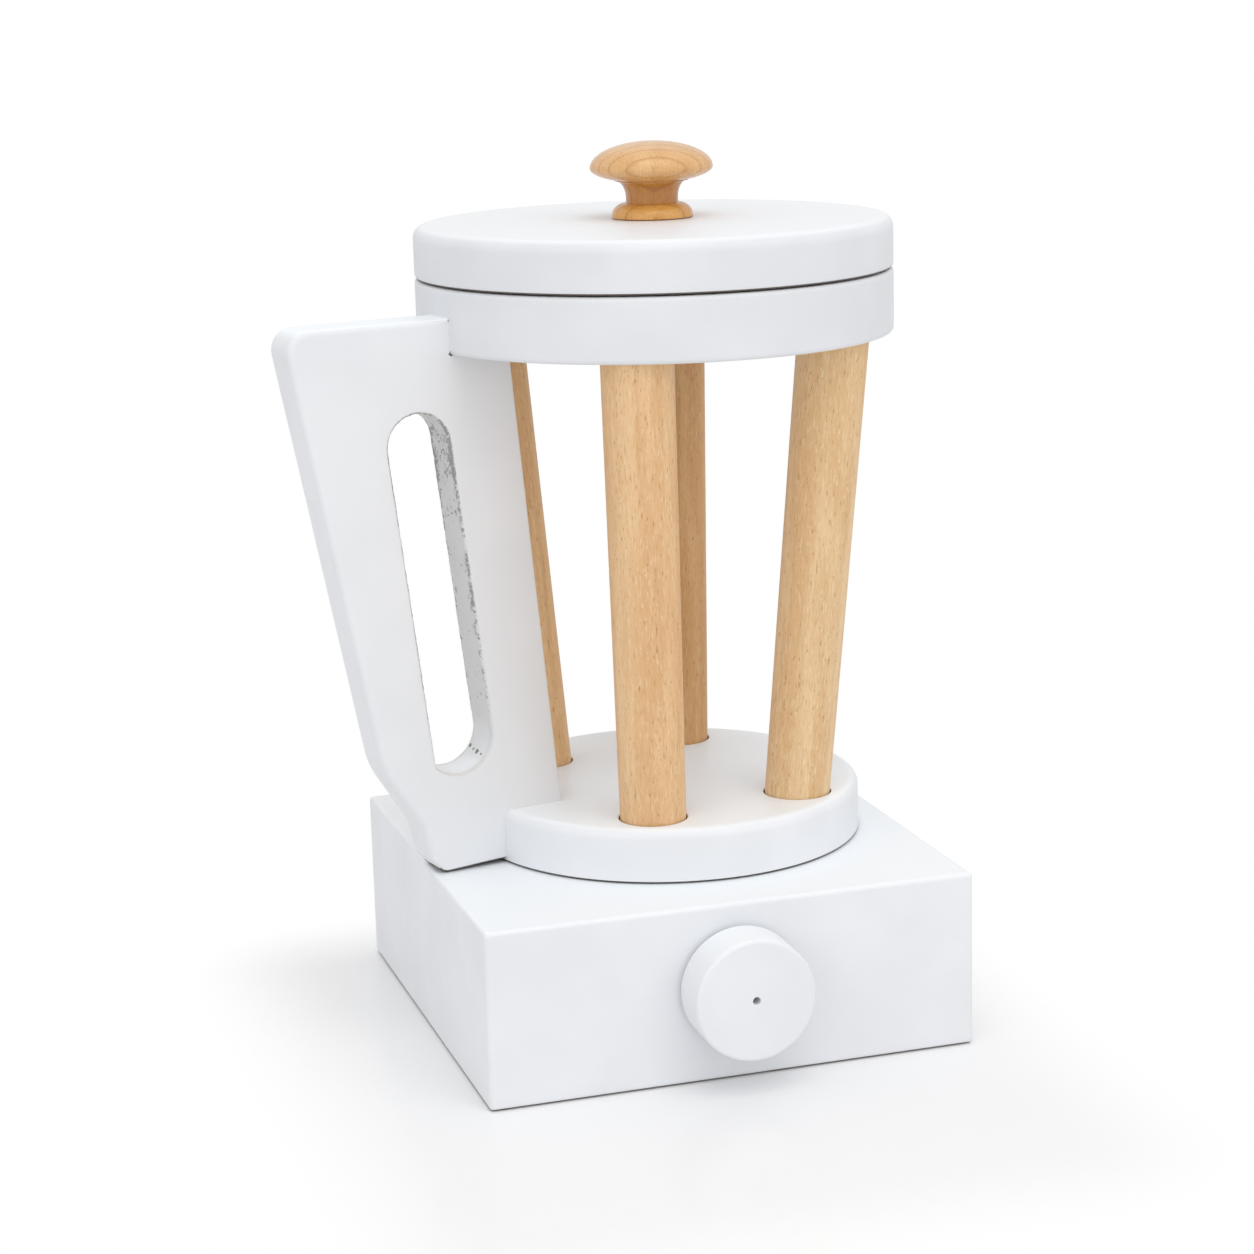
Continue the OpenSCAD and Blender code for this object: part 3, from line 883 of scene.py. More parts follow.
def drillDowelHoles(bm, height, inward, radius, lip, end):
    # soft-edged blind holes that go up (1) or down (-1) into a flat face; returns their outer loops
    outer = []
    for angle in dowels["angles"].values():
        place = dowelPlace(angle)
        rings = [ringOf(bm, dowelLoop(angle, radius + lip + dowels["rimFlat"], height))]
        for across, up in quarter(dowels["lipSteps"]):
            rings.append(ringOf(bm, dowelLoop(angle, radius + lip * (1 - up),
                                              height + inward * lip * (1 - across))))
        bridge(bm, rings)
        painted = len(bm.faces)
        deep = [ringOf(bm, dowelLoop(angle, radius, height + inward * (lip + dowels["wallStart"])))]
        for wide in (radius, 0):
            deep.append(ringOf(bm, [place @ Vector(point) for point in circlePoints(wide, end, barSides)]))
        bridge(bm, rings[-1:] + deep)
        for face in list(bm.faces)[painted:]:
            face.material_index = 1
        outer.append(rings[0])
    return outer


def pinCutter(joint):
    # the handle's pin lies along the plate, half in the plate and half in the rim
    radius, height = pinPlaces[joint]
    length = (pinHigh.x - pinLow.x) / math.cos(jarTurn)
    place = jarPlace @ Matrix.Translation((-radius, 0, height)) @ Matrix.Rotation(math.pi / 2, 4, "Y")
    return boreMesh(pinHole, -length / 2, length / 2, place)


def addDrilledPiece(name, mesh, paint, node):
    # painted outside, bare wood darkened as painted shade in the holes
    for material in (paint, holeShadeWood):
        mesh.materials.append(material)
    addPiece(name, mesh, None, "jar", "white_paint", node)


# bottom disc
discShape = {
    "topEdge": 2.6,
    "footEdge": 0.45,
    "margin": 0.1,            # from a rounding to the flat face
    "lip": 0.30,              # soft rim of the dowels' holes
    "pegHole": 12.16,
    "pegHoleDepth": 7.0,
    "pegHoleChamfer": 0.3,
    "sides": 192,
}


def buildDisc(shape):
    radius, thick, margin = discRadius, discThick, shape["margin"]
    corners = [(radius - shape["topEdge"] - margin, thick, 0), (radius, thick, shape["topEdge"]),
               (radius, 0, shape["footEdge"]), (radius - shape["footEdge"] - margin, 0, 0)]
    bm = bmesh.new()
    rings = lathe(bm, roundPath(corners, ease=0.05), shape["sides"])
    holes = drillDowelHoles(bm, thick, -1, dowels["footRadius"] + dowels["footGap"], shape["lip"],
                            -dowels["footDepth"] - dowels["endGap"])
    fillFlat(bm, [rings[0], *holes], (0, 0, 1))
    hole, depth, chamfer = shape["pegHole"] / 2, shape["pegHoleDepth"], shape["pegHoleChamfer"]
    profile = roundPath([(hole + chamfer, 0, 0), (hole, chamfer, 0), (hole, depth, 0), (0, depth, 0)])
    peg = lathe(bm, profile, cutterSides)
    fillFlat(bm, [rings[-1], peg[0]], (0, 0, -1))
    mesh = cutHoles(finishMesh(bm, "jarDisc", jarPlace), pinCutter("Disc"))
    # painted gap shade under the disc's rim
    paint = paintMaterial("discPaint", paintLook, underside=(discLow.z, gapShadeReach, discRadius - gapShadeWidth))
    addDrilledPiece("jarDisc", mesh, paint, "jar_disc")


buildDisc(discShape)
print("bottom disc made")


# ring
ringShape = {
    "edge": 1.1,
    "mouth": 36.0,
    "mouthEdge": 0.8,
    "margin": 0.8,            # from a rounding to the flat face
    "lip": 0.25,
    "sides": 192,
}


def buildRing(shape):
    radius, mouth, margin = ringRadius, shape["mouth"], shape["margin"]
    corners = [(mouth + shape["mouthEdge"] + margin, 0, 0), (mouth, 0, shape["mouthEdge"]),
               (mouth, ringThick, shape["mouthEdge"]), (radius, ringThick, shape["edge"]),
               (radius, 0, shape["edge"]), (radius - shape["edge"] - margin, 0, 0)]
    profile = [(point.x, point.y + ringFoot) for point in roundPath(corners, ease=0.4)]
    bm = bmesh.new()
    rings = lathe(bm, profile, shape["sides"])
    holes = drillDowelHoles(bm, ringFoot, 1, dowels["topRadius"] + dowels["topGap"], shape["lip"],
                            dowelLength + dowels["topDepth"] + dowels["endGap"])
    fillFlat(bm, [rings[0], rings[-1], *holes], (0, 0, -1))
    mesh = cutHoles(finishMesh(bm, "jarRing", jarPlace), pinCutter("Ring"))
    addDrilledPiece("jarRing", mesh, shadedRingPaint, "jar_ring")


buildRing(ringShape)
print("ring made")


# handle plate
handle = {
    "thick": 12.0,
    "reach": 103.6,           # top outer corner from the jar's axis
    "corner": 5.4,
    "bend": 82.6,
    "bendHeight": 28.0,
    "bendRadius": 22.0,
    "foot": 69.2,
    "footLean": 3.0,
    "footStep": 3.6,
    "footRound": 2.0,
    "waistOut": 3.6,
    "waistHeight": 12.6,
    "waistRadius": 7.0,
    "innerFoot": 34.2,
    "innerTop": 44.5,
    "lift": 0.92,             # rise of the underside at the disc's rim
    "gap": 0.05,
    "slotWidth": 16.4,
    "slotWall": 20.0,
    "slotFoot": 11.5,
    "slotHead": 13.5,
    "slotLean": 6.5,
    "slotEnd": 9.2,           # the lower end is drilled wider and leaves a corner on the outer side
    "slotSoft": 0.75,
    "slotRough": 0.16,
    "slotGrain": (0.9, 0.22),  # how fine that is along the wall and through the plate
    "slotSmooth": 3,          # rings of points at each face that stay smooth
    "slotLevels": 7,          # rings of points from the middle of the slot's wall to each face
    "spacing": 2.4,
    "slotSpacing": 1.0,
    "roundSteps": 5,
    "cornerSteps": 8,
    "margin": 0.6,            # from a soft edge to the flat face
    "waveDepth": 0.08,
    "waveLength": 24.0,
}
slotWear = {                  # 0 is whole paint, 1 is none
    "wall": 0.20,
    "edges": 0.42,            # more of it towards the two faces, rising with this power
    "edgePower": 7,
    "top": 0.34,              # and near the slot's upper end
    "topPlace": 0.97,         # places and reaches are shares of the slot's length
    "topReach": 0.13,
    "lowPlace": -0.02,
    "lowReach": 0.12,
    "lowShare": 0.2,          # what is left of the wear at the lower end
}


def handleCorners(shape):
    # reach, height, radius of the corner, softness of the side after it, what that side lies on
    rim, discRim = ringRadius + shape["gap"], discRadius + shape["gap"]
    foot, lean = shape["foot"], shape["footLean"] / 2
    return [
        (shape["innerFoot"], discThick, 0, 0.4, None),
        (shape["innerTop"], ringFoot, 0, 0.15, None),
        (rim, ringFoot, 0, 0.2, rim),
        (rim, plateTop, 0, 1.3, None),
        (shape["reach"], plateTop, shape["corner"], 1.5, None),
        (shape["bend"], shape["bendHeight"], shape["bendRadius"], 1.6, None),
        (foot + shape["waistOut"], shape["waistHeight"], shape["waistRadius"], 2.0, None),
        (foot + lean, shape["footStep"], shape["footRound"], 1.4, None),
        (foot - lean, 0, shape["footRound"], 0.7, None),
        (discRim, shape["lift"], 0, 0.2, discRim),
        (discRim, discThick, discShape["topEdge"] + shape["gap"], 0.15, None),
    ]


def divide(rows, spacing):
    # puts points along the straight sides
    dense = []
    for (point, soft, rim), following in zip(rows, rows[1:] + rows[:1]):
        parts = max(1, round((following[0] - point).length / spacing))
        dense += [(point.lerp(following[0], k / parts), soft, rim) for k in range(parts)]
    return dense


def plateOutline(shape):
    corners = handleCorners(shape)
    rows = []
    for i, (reach, height, radius, soft, rim) in enumerate(corners):
        corner = Vector((reach, height))
        if not radius:
            rows.append((corner, soft, rim))
            continue
        before, after = corners[i - 1], corners[(i + 1) % len(corners)]
        arc = cornerArc(Vector(before[:2]), corner, Vector(after[:2]), radius, 0,
                        shape["cornerSteps"])
        for k, point in enumerate(arc):
            share = k / (len(arc) - 1)
            rows.append((point, before[3] * (1 - share) + soft * share, before[4] and point.x))
    return divide(rows, shape["spacing"])


def slotEnds(shape):
    # the centres of the two ends, from the outer side's slope
    radius = shape["slotWidth"] / 2
    slope = (shape["reach"] - shape["bend"]) / (plateTop - shape["bendHeight"])
    low = discThick + shape["slotFoot"] + shape["slotEnd"]
    high = ringFoot - shape["slotHead"] - radius
    highReach = shape["bend"] + (high - shape["bendHeight"]) * slope - shape["slotWall"] - radius
    lowReach = highReach - (high - low) * math.tan(math.radians(shape["slotLean"]))
    return Vector((lowReach, low)), Vector((highReach, high))


def arcPoints(across, up, radius, start, sweep, steps=24):
    turns = [start + sweep * i / steps for i in range(steps + 1)]
    return [Vector((across + radius * math.cos(turn), up + radius * math.sin(turn))) for turn in turns]


def slotOutline(shape):
    radius, end = shape["slotWidth"] / 2, shape["slotEnd"]
    low, high = slotEnds(shape)
    off = end - radius                            # the lower end's centre lies off the middle
    cutAngle = math.acos((radius - off) / end)    # where it meets the outer side
    local = arcPoints(off, 0, end, -cutAngle, cutAngle - math.pi)
    local += arcPoints(0, (high - low).length, radius, math.pi, -math.pi)
    lean = Matrix.Rotation(-math.radians(shape["slotLean"]), 2)
    rows = [(low + lean @ point, shape["slotSoft"], None) for point in local]
    return divide(rows, shape["slotSpacing"])


def slotEndPlace(shape, degrees, depth):
    # a place on the wall of the drilled end, so many degrees on from the straight inner wall
    end, off = shape["slotEnd"], shape["slotEnd"] - shape["slotWidth"] / 2
    lean = math.radians(shape["slotLean"])
    turn = math.radians(degrees) - lean
    low = slotEnds(shape)[0]
    reach = low.x + off * math.cos(lean) - end * math.cos(turn)
    return -reach, depth, low.y - off * math.sin(lean) - end * math.sin(turn)


paintChips = [                # places on the jar where the paint has come off, and their radii
    ((-60.3, -handle["thick"] / 2, plateTop - 0.5), 0.55),
    ((-60.2, -handle["thick"] / 2, ringFoot + 0.3), 0.55),
    (slotEndPlace(handle, 40.0, 4.4), 0.60),
    (slotEndPlace(handle, 43.0, 1.9), 0.50),
    (slotEndPlace(handle, 43.5, -0.5), 0.80),
    (slotEndPlace(handle, 44.5, -2.9), 0.50),
]


def insetLoop(rows, share, extra=0.0):
    # moves every side inwards by its softness times share, plus extra
    count = len(rows)
    nearlyStraight = 0.2  # sine of a turn up to which two sides move as one
    area = sum(rows[i][0].cross(rows[(i + 1) % count][0]) for i in range(count))
    side = 1 if area > 0 else -1
    placed = []
    for i in range(count):
        point = rows[i][0]
        first = (point - rows[i - 1][0]).normalized()
        second = (rows[(i + 1) % count][0] - point).normalized()
        normalA = Vector((-first.y, first.x)) * side
        normalB = Vector((-second.y, second.x)) * side
        moveA = rows[i - 1][1] * share + extra
        moveB = rows[i][1] * share + extra
        twist = normalA.x * normalB.y - normalA.y * normalB.x
        if abs(twist) < nearlyStraight:
            placed.append(point + (normalA + normalB).normalized() * (moveA + moveB) / 2)
        else:
            placed.append(point + Vector(((moveA * normalB.y - moveB * normalA.y) / twist,
                                          (moveB * normalA.x - moveA * normalB.x) / twist)))
    return placed


def plateRings(bm, rows, shape, levels, inward=1):
    # rings of the outline from the front face round its soft edge, through and out to the back
    half = shape["thick"] / 2
    count = len(rows)
    softs = [(rows[i][1] + rows[i - 1][1]) / 2 for i in range(count)]
    rims = [rows[i][2] or rows[i - 1][2] for i in range(count)]

    def place(points, depths):
        verts = []
        for point, depth, rim in zip(points, depths, rims):
            reach = point.x
            if rim:
                reach += math.sqrt(rim ** 2 - depth ** 2) - rim
            verts.append(bm.verts.new((-reach, depth, point.y)))
        return verts

    def softEdge(side):
        rings = [place(insetLoop(rows, inward, inward * shape["margin"]), [side * half] * count)]
        for across, up in quarter(shape["roundSteps"]):
            depths = [side * (half - soft * (1 - across)) for soft in softs]
            rings.append(place(insetLoop(rows, inward * (1 - up)), depths))
        return rings

    rings = softEdge(-1)
    outline = [row[0] for row in rows]
    rings += [place(outline, [(half - soft) * level for soft in softs]) for level in levels]
    rings += reversed(softEdge(1))
    bridge(bm, rings)
    return rings


def wearAt(point, low, high, wear):
    # paint is thin in the slot: most along its edges and near its upper end
    edge = abs(point.y) / (handle["thick"] / 2 - handle["slotSoft"])
    up = (point.z - low.y) / (high.y - low.y)
    nearTop = math.exp(-((up - wear["topPlace"]) / wear["topReach"]) ** 2)
    share = min(max((up - wear["lowPlace"]) / wear["lowReach"], wear["lowShare"]), 1.0)
    added = wear["edges"] * min(edge, 1) ** wear["edgePower"] + wear["top"] * nearTop
    return min(1.0, share * (wear["wall"] + added))


def roughenSlot(bm, rings, shape):
    # the saw and the file leave the slot's wall a little rough
    wear = bm.verts.layers.float["wear"]
    low, high = slotEnds(shape)
    across, along = shape["slotGrain"]
    for vert in [vert for ring in rings for vert in ring]:
        grain = Vector((vert.co.x * across, vert.co.y * along, vert.co.z * across))
        middle = low.lerp(high, min(max((vert.co.z - low.y) / (high.y - low.y), 0), 1))
        out = Vector((vert.co.x + middle.x, 0, vert.co.z - middle.y)).normalized()
        vert.co += out * shape["slotRough"] * (noise.noise(grain) + 0.5 * noise.noise(grain * 2.7))
        vert[wear] = wearAt(vert.co, low, high, slotWear)


def buildHandle(shape):
    bm = bmesh.new()
    bm.verts.layers.float.new("wear")
    outer = plateRings(bm, plateOutline(shape), shape, (-0.9, -0.5, 0, 0.5, 0.9))
    ripple(bm, shape, 3.7)
    parts = shape["slotLevels"]
    slot = plateRings(bm, slotOutline(shape), shape, [i / parts for i in range(1 - parts, parts)], -1)
    smooth = shape["slotSmooth"]
    roughenSlot(bm, slot[smooth:-smooth], shape)
    fillFlat(bm, [outer[0], slot[0]], (0, -1, 0))
    fillFlat(bm, [outer[-1], slot[-1]], (0, 1, 0))
    mesh = cutHoles(finishMesh(bm, "handlePlate", jarPlace), pinCutter("Disc"), pinCutter("Ring"))
    lost = [(jarPlace @ Vector(point), size) for point, size in paintChips]
    # painted gap shade on the plate's lower edge; the worn slot and the chips are real wear
    paint = paintMaterial("shadedHandlePaint", shadedHandlePaintLook, slotPaintLook, (discLow.z, gapShadeReach, 0), lost)
    addPiece("handlePlate", mesh, paint, "jar", "white_paint", "handle_plate")


buildHandle(handle)
print("handle plate made")


# Geometry Nodes helpers

def newTree(name, inputs):
    # inputs are {name: default}, with None for a material; returns the tree, its inputs and its output
    tree = bpy.data.node_groups.new(name, "GeometryNodeTree")
    tree.interface.new_socket("Geometry", in_out="INPUT", socket_type="NodeSocketGeometry")
    kinds = {float: "NodeSocketFloat", int: "NodeSocketInt", type(None): "NodeSocketMaterial"}
    for label, default in inputs.items():
        socket = tree.interface.new_socket(label, in_out="INPUT", socket_type=kinds[type(default)])
        if default is not None:
            socket.default_value = default
    tree.interface.new_socket("Geometry", in_out="OUTPUT", socket_type="NodeSocketGeometry")
    return tree, tree.nodes.new("NodeGroupInput").outputs, tree.nodes.new("NodeGroupOutput").inputs[0]


def endTree(tree, geometry, material, output):
    realized = addNode(tree, "GeometryNodeRealizeInstances", {"Geometry": geometry}).outputs[0]
    painted = addNode(tree, "GeometryNodeSetMaterial", {"Geometry": realized, "Material": material})
    tree.links.new(painted.outputs[0], output)
    return tree


def runTree(tree, source, values, name, place, sharp=sharpAngle):
    # runs the tree on a mesh or curve and returns a plain mesh, in metres and in its place
    item = newObject(name + "Source", source)
    modifier = item.modifiers.new("nodes", "NODES")
    modifier.node_group = tree
    sockets = {s.name: s.identifier for s in tree.interface.items_tree if s.in_out == "INPUT"}
    for label, value in values.items():
        modifier[sockets[label]] = value
    mesh = evaluatedMesh(item, name)
    bpy.data.objects.remove(item)
    return reworkMesh(mesh, Matrix.Scale(mm, 4) @ place, sharp)


# round wooden bars: dowels, peg and pins

def barTree():
    tree, given, output = newTree("roundBar", {
        "Length": 100.0, "Foot Radius": 9.0, "Top Radius": 9.0, "Chamfer": 0.0, "Unevenness": 0.1,
        "Segments": 60, "Seed": 0.0, "Material": None})
    bar = addNode(tree, "GeometryNodeMeshCylinder", {
        "Vertices": barSides, "Side Segments": given["Segments"], "Fill Segments": 5, "Radius": 1.0,
        "Depth": given["Length"]}).outputs["Mesh"]
    here = addNode(tree, "GeometryNodeInputPosition").outputs[0]
    at = partsOf(tree, here)
    halfLength = maths(tree, "MULTIPLY", given["Length"], 0.5)
    height = maths(tree, "ADD", at["Z"], halfLength)
    upright = vectorOf(tree, at["X"], at["Y"], height)
    taper = between(tree, maths(tree, "DIVIDE", height, given["Length"]), given["Foot Radius"],
                    given["Top Radius"])
    fromEnd = maths(tree, "SUBTRACT", halfLength, maths(tree, "ABSOLUTE", at["Z"]))
    cut = maths(tree, "MAXIMUM", maths(tree, "SUBTRACT", given["Chamfer"], fromEnd), 0)
    lumps = addNode(tree, "ShaderNodeTexNoise", {
        "Vector": stretched(tree, upright, vectorOf(tree, taper, taper, 0.35)), "W": given["Seed"],
        "Scale": 0.11, "Detail": 2.0}, noise_dimensions="4D").outputs[0]
    sunk = maths(tree, "MULTIPLY", lumps, given["Unevenness"])
    radius = maths(tree, "SUBTRACT", maths(tree, "SUBTRACT", taper, cut), sunk)
    place = stretched(tree, upright, vectorOf(tree, radius, radius, 1.0))
    moved = addNode(tree, "GeometryNodeSetPosition", {"Geometry": bar, "Position": place}).outputs[0]
    apart = vectorMaths(tree, "MULTIPLY", (37, 19, 53), given["Seed"])  # no two bars share their grain
    stored = addNode(tree, "GeometryNodeStoreNamedAttribute", {
        "Geometry": moved, "Name": "grain", "Value": vectorMaths(tree, "ADD", here, apart)},
        data_type="FLOAT_VECTOR", domain="POINT").outputs[0]
    return endTree(tree, stored, given["Material"], output)


roundBar = barTree()


def barMesh(name, sizes, place):
    values = {"Chamfer": 0.0, "Material": dowelMaterial, **sizes}
    return runTree(roundBar, bpy.data.meshes.new(name), values, name, place)


def buildDowels(shape):
    taper = (shape["topRadius"] - shape["footRadius"]) / dowelLength
    for seed, (side, angle) in enumerate(shape["angles"].items()):
        sideName = side.title().replace("_", "")
        sizes = {
            "Length": dowelLength + shape["footDepth"] + shape["topDepth"],
            "Foot Radius": shape["footRadius"] - taper * shape["footDepth"],
            "Top Radius": shape["topRadius"] + taper * shape["topDepth"],
            "Unevenness": shape["unevenness"],
            "Segments": shape["segments"],
            "Seed": float(seed + 1),
            "Material": dowelWood("dowelWood" + sideName, dowelLook, shape["paintedLightTones"][side]),
        }
        place = jarPlace @ dowelPlace(angle) @ Matrix.Translation((0, 0, -shape["footDepth"]))
        name = "dowel" + sideName
        addPiece(name, barMesh(name, sizes, place), dowelMaterial, "jar", "natural_wood", "dowel_" + side)


pegShape = {"radius": 6.0, "chamfer": 1.0, "unevenness": 0.04, "segments": 45, "seed": 7.0}
pinShape = {"radius": 2.5, "chamfer": 0.5, "unevenness": 0.03, "segments": 48, "seed": 8.0}
pinLength = 16.0


def addStraightBar(name, shape, length, place, body, node, seed=0):
    sizes = {"Length": length, "Foot Radius": shape["radius"], "Top Radius": shape["radius"],
             "Chamfer": shape["chamfer"], "Unevenness": shape["unevenness"],
             "Segments": shape["segments"], "Seed": shape["seed"] + seed}
    addPiece(name, barMesh(name, sizes, place), dowelMaterial, body, "natural_wood", node)


def buildPegAndPins():
    foot = cadBox("jar_peg")[0].z
    addStraightBar("jarPeg", pegShape, span("jar_peg"), onJarAxis(foot), "peg", "jar_peg")
    for seed, (joint, (radius, height)) in enumerate(pinPlaces.items()):
        place = (jarPlace @ Matrix.Translation((-radius - pinLength / 2, 0, height))
                 @ Matrix.Rotation(math.pi / 2, 4, "Y"))
        addStraightBar(f"handle{joint}Pin", pinShape, pinLength, place, "jar",
                       f"handle_{joint.lower()}_pin", seed)


buildDowels(dowels)
buildPegAndPins()
print("dowels, peg and pins made")


# countersunk screws
bottomScrew = {"Head Diameter": 7.0, "Shank Diameter": 3.5, "Head Height": 2.1, "Seed": 5}
knobScrew = {"Head Diameter": 8.0, "Shank Diameter": 4.0, "Head Height": 2.4, "Seed": 9}
recess = {"arm": 0.58, "width": 0.13, "depth": 1.3}  # shares of the head's width and height
tipShare = 0.3  # of the shank's width


def screwTree():
    tree, given, output = newTree("countersunkScrew", {
        "Head Diameter": 7.0, "Shank Diameter": 3.5, "Head Height": 2.1, "Length": 15.0, "Seed": 3,
        "Material": None})
    headWidth, headHeight, shankWidth = given["Head Diameter"], given["Head Height"], given["Shank Diameter"]
    shankRadius = maths(tree, "MULTIPLY", shankWidth, 0.5)

    def cone(vertices, foot, top, depth):
        return addNode(tree, "GeometryNodeMeshCone", {
            "Vertices": vertices, "Radius Bottom": foot, "Radius Top": top, "Depth": depth}).outputs["Mesh"]

    def raised(mesh, height):
        return addNode(tree, "GeometryNodeTransform", {
            "Geometry": mesh, "Translation": vectorOf(tree, z=height)}).outputs[0]

    head = cone(48, maths(tree, "MULTIPLY", headWidth, 0.5), shankRadius, headHeight)
    cut = addNode(tree, "GeometryNodeMeshBoolean", {0: head}, operation="DIFFERENCE")
    arm = maths(tree, "MULTIPLY", headWidth, recess["arm"])
    width = maths(tree, "MULTIPLY", headWidth, recess["width"])
    depth = maths(tree, "MULTIPLY", headHeight, recess["depth"])
    for x, y in ((arm, width), (width, arm)):
        bar = addNode(tree, "GeometryNodeMeshCube", {"Size": vectorOf(tree, x, y, depth)}).outputs["Mesh"]
        tree.links.new(bar, cut.inputs[1])
    straight = maths(tree, "SUBTRACT", maths(tree, "SUBTRACT", given["Length"], headHeight), shankWidth)
    shank = addNode(tree, "GeometryNodeMeshCylinder", {
        "Vertices": 32, "Radius": shankRadius, "Depth": straight}).outputs["Mesh"]
    shank = raised(shank, maths(tree, "ADD", headHeight, maths(tree, "MULTIPLY", straight, 0.5)))
    tip = cone(32, shankRadius, maths(tree, "MULTIPLY", shankRadius, tipShare), shankWidth)
    tip = raised(tip, maths(tree, "SUBTRACT", given["Length"], shankWidth))
    whole = addNode(tree, "GeometryNodeJoinGeometry")
    for part in (cut.outputs["Mesh"], shank, tip):
        tree.links.new(part, whole.inputs[0])
    spin = addNode(tree, "FunctionNodeRandomValue", {"Seed": given["Seed"], "Min": (0, 0, 0),
                                                     "Max": (0, 0, math.pi)}, data_type="FLOAT_VECTOR")
    placed = addNode(tree, "GeometryNodeInstanceOnPoints", {
        "Points": given["Geometry"], "Instance": whole.outputs[0], "Rotation": spin.outputs["Value"]})
    return endTree(tree, placed.outputs[0], given["Material"], output)


countersunkScrew = screwTree()


def addScrews(name, body, node, sizes, points):
    source = bpy.data.meshes.new(name)
    source.from_pydata(points, [], [])
    values = {**sizes, "Length": span(node), "Material": screwSteel}
    mesh = runTree(countersunkScrew, source, values, name, Matrix.Identity(4))
    addPiece(name, mesh, screwSteel, body, "screw_steel", node)


def buildScrews():
    low, high = cadBox("base_bottom_screws")
    headRadius = bottomScrew["Head Diameter"] / 2
    corners = [(x, y, low.z) for x in (low.x + headRadius, high.x - headRadius)
               for y in (low.y + headRadius, high.y - headRadius)]
    addScrews("bottomScrews", "base", "base_bottom_screws", bottomScrew, corners)
    foot = cadBox("lid_knob_screw")[0].z
    addScrews("knobScrew", "lid", "lid_knob_screw", knobScrew, [(jarCentre.x, jarCentre.y, foot)])


buildScrews()
print("screws made")


# lid
lidShape = {
    "topEdge": 3.0,
    "footEdge": 0.9,
    "bore": 4.1,
    "crown": 0.25,            # the top is a touch lower at its rim
    "crownShare": 0.8,        # and level within this share of its radius
    "crownRound": 60,
    "plugEdge": 1.0,          # width of the plug's lower bevel
    "plugRound": 0.4,
    "plugTopRound": 0.3,
    "plugBore": 4.2,
    "sinkRadius": 4.05,
    "sinkHeight": 2.4,
    "sides": 192,
    "plugSides": 144,
}

lidLow = cadBox("lid_disc")[0]
lidPlace = onJarAxis(lidLow.z) @ Matrix.Rotation(jarTurn, 4, "Z")


def buildLidDisc(shape):
    radius, thick, bore = boxRadius("lid_disc"), span("lid_disc"), shape["bore"] / 2
    corners = [(bore, 0, 0), (radius, 0, shape["footEdge"]),
               (radius, thick - shape["crown"], shape["topEdge"]),
               (radius * shape["crownShare"], thick, shape["crownRound"]), (bore, thick, 0)]
    mesh = turnedMesh("lidDisc", roundPath(corners, True), shape["sides"], lidPlace)
    # painted gap shade under the lid's rim
    paint = paintMaterial("lidPaint", shadedRingPaintLook, underside=(lidLow.z, gapShadeReach, radius - gapShadeWidth))
    addPiece("lidDisc", mesh, paint, "lid", "white_paint", "lid_disc")


def buildLidPlug(shape):
    radius, thick, bore = boxRadius("lid_plug"), span("lid_plug"), shape["plugBore"] / 2
    edge, soft = shape["plugEdge"], shape["plugRound"]
    corners = [(shape["sinkRadius"], -thick, 0), (radius - edge, -thick, soft), (radius, edge - thick, soft),
               (radius, 0, shape["plugTopRound"]), (bore, 0, 0), (bore, shape["sinkHeight"] - thick, 0)]
    mesh = turnedMesh("lidPlug", roundPath(corners, True, 0.2), shape["plugSides"], lidPlace)
    addPiece("lidPlug", mesh, shadedRingPaint, "lid", "white_paint", "lid_plug")


buildLidDisc(lidShape)
buildLidPlug(lidShape)
print("lid made")


# knob
knobShape = {
    "footRadius": 10.3,
    "neckRadius": 6.6,
    "underRadius": 9.3,       # the head's lower edge
    "footHeight": 3.84,
    "neckHeight": 5.18,
    "underHeight": 9.41,
    "headHeight": 12.67,      # where the head is widest
    "bore": 4.1,
    "boreDepth": 11.05,
    "footLip": 0.5,
    "footBevel": (0.3, 0.25),
    "groove": 0.25,
    "step": 0.15,             # up from the foot to the neck, and under the head
    "nick": (0.12, 0.1),      # at the head's lower edge
    "sides": 128,
}


def knobProfile(shape):
    headRadius, height = boxRadius("lid_knob"), span("lid_knob")
    foot, neck, under = shape["footRadius"], shape["neckRadius"], shape["underRadius"]
    lip, footHeight, neckHeight = shape["footLip"], shape["footHeight"], shape["neckHeight"]
    underHeight, headHeight = shape["underHeight"], shape["headHeight"]
    bore, bevel, nick = shape["bore"] / 2, shape["footBevel"], shape["nick"]
    shoulder = neck + shape["groove"]
    points = [(0, shape["boreDepth"]), (bore, shape["boreDepth"]), (bore, 0), (foot - bevel[0], 0),
              (foot, bevel[1]), (foot, lip)]
    points += [(shoulder + (foot - shoulder) * across, lip + (footHeight - lip) * up)
               for across, up in quarter(12, 1)]
    points.append((neck, footHeight + shape["step"]))
    points += [(under - (under - neck) * across, neckHeight + (underHeight - neckHeight) * up)
               for across, up in quarter(12)]
    points.append((under - nick[0], underHeight + nick[1]))
    startTurn = math.acos(under / headRadius)
    drop = (headHeight - underHeight - shape["step"]) / math.sin(startTurn)
    for i in range(17):
        turn = startTurn * (1 - i / 16)
        points.append((headRadius * math.cos(turn), headHeight - drop * math.sin(turn)))
    points += [(headRadius * across, headHeight + (height - headHeight) * up)
               for across, up in quarter(24, 1)[:-1]]
    return points + [(0, height)]


def buildKnob(shape):
    seat = cadBox("lid_knob")[0].z
    mesh = turnedMesh("lidKnob", knobProfile(shape), shape["sides"], onJarAxis(seat), False)
    wood = knobWood("knobWood", knobLook, (jarCentre.x, jarCentre.y, seat), shape["footHeight"],
                    shape["underHeight"])
    addPiece("lidKnob", mesh, wood, "lid", "natural_wood", "lid_knob")


buildKnob(knobShape)
print("knob made")


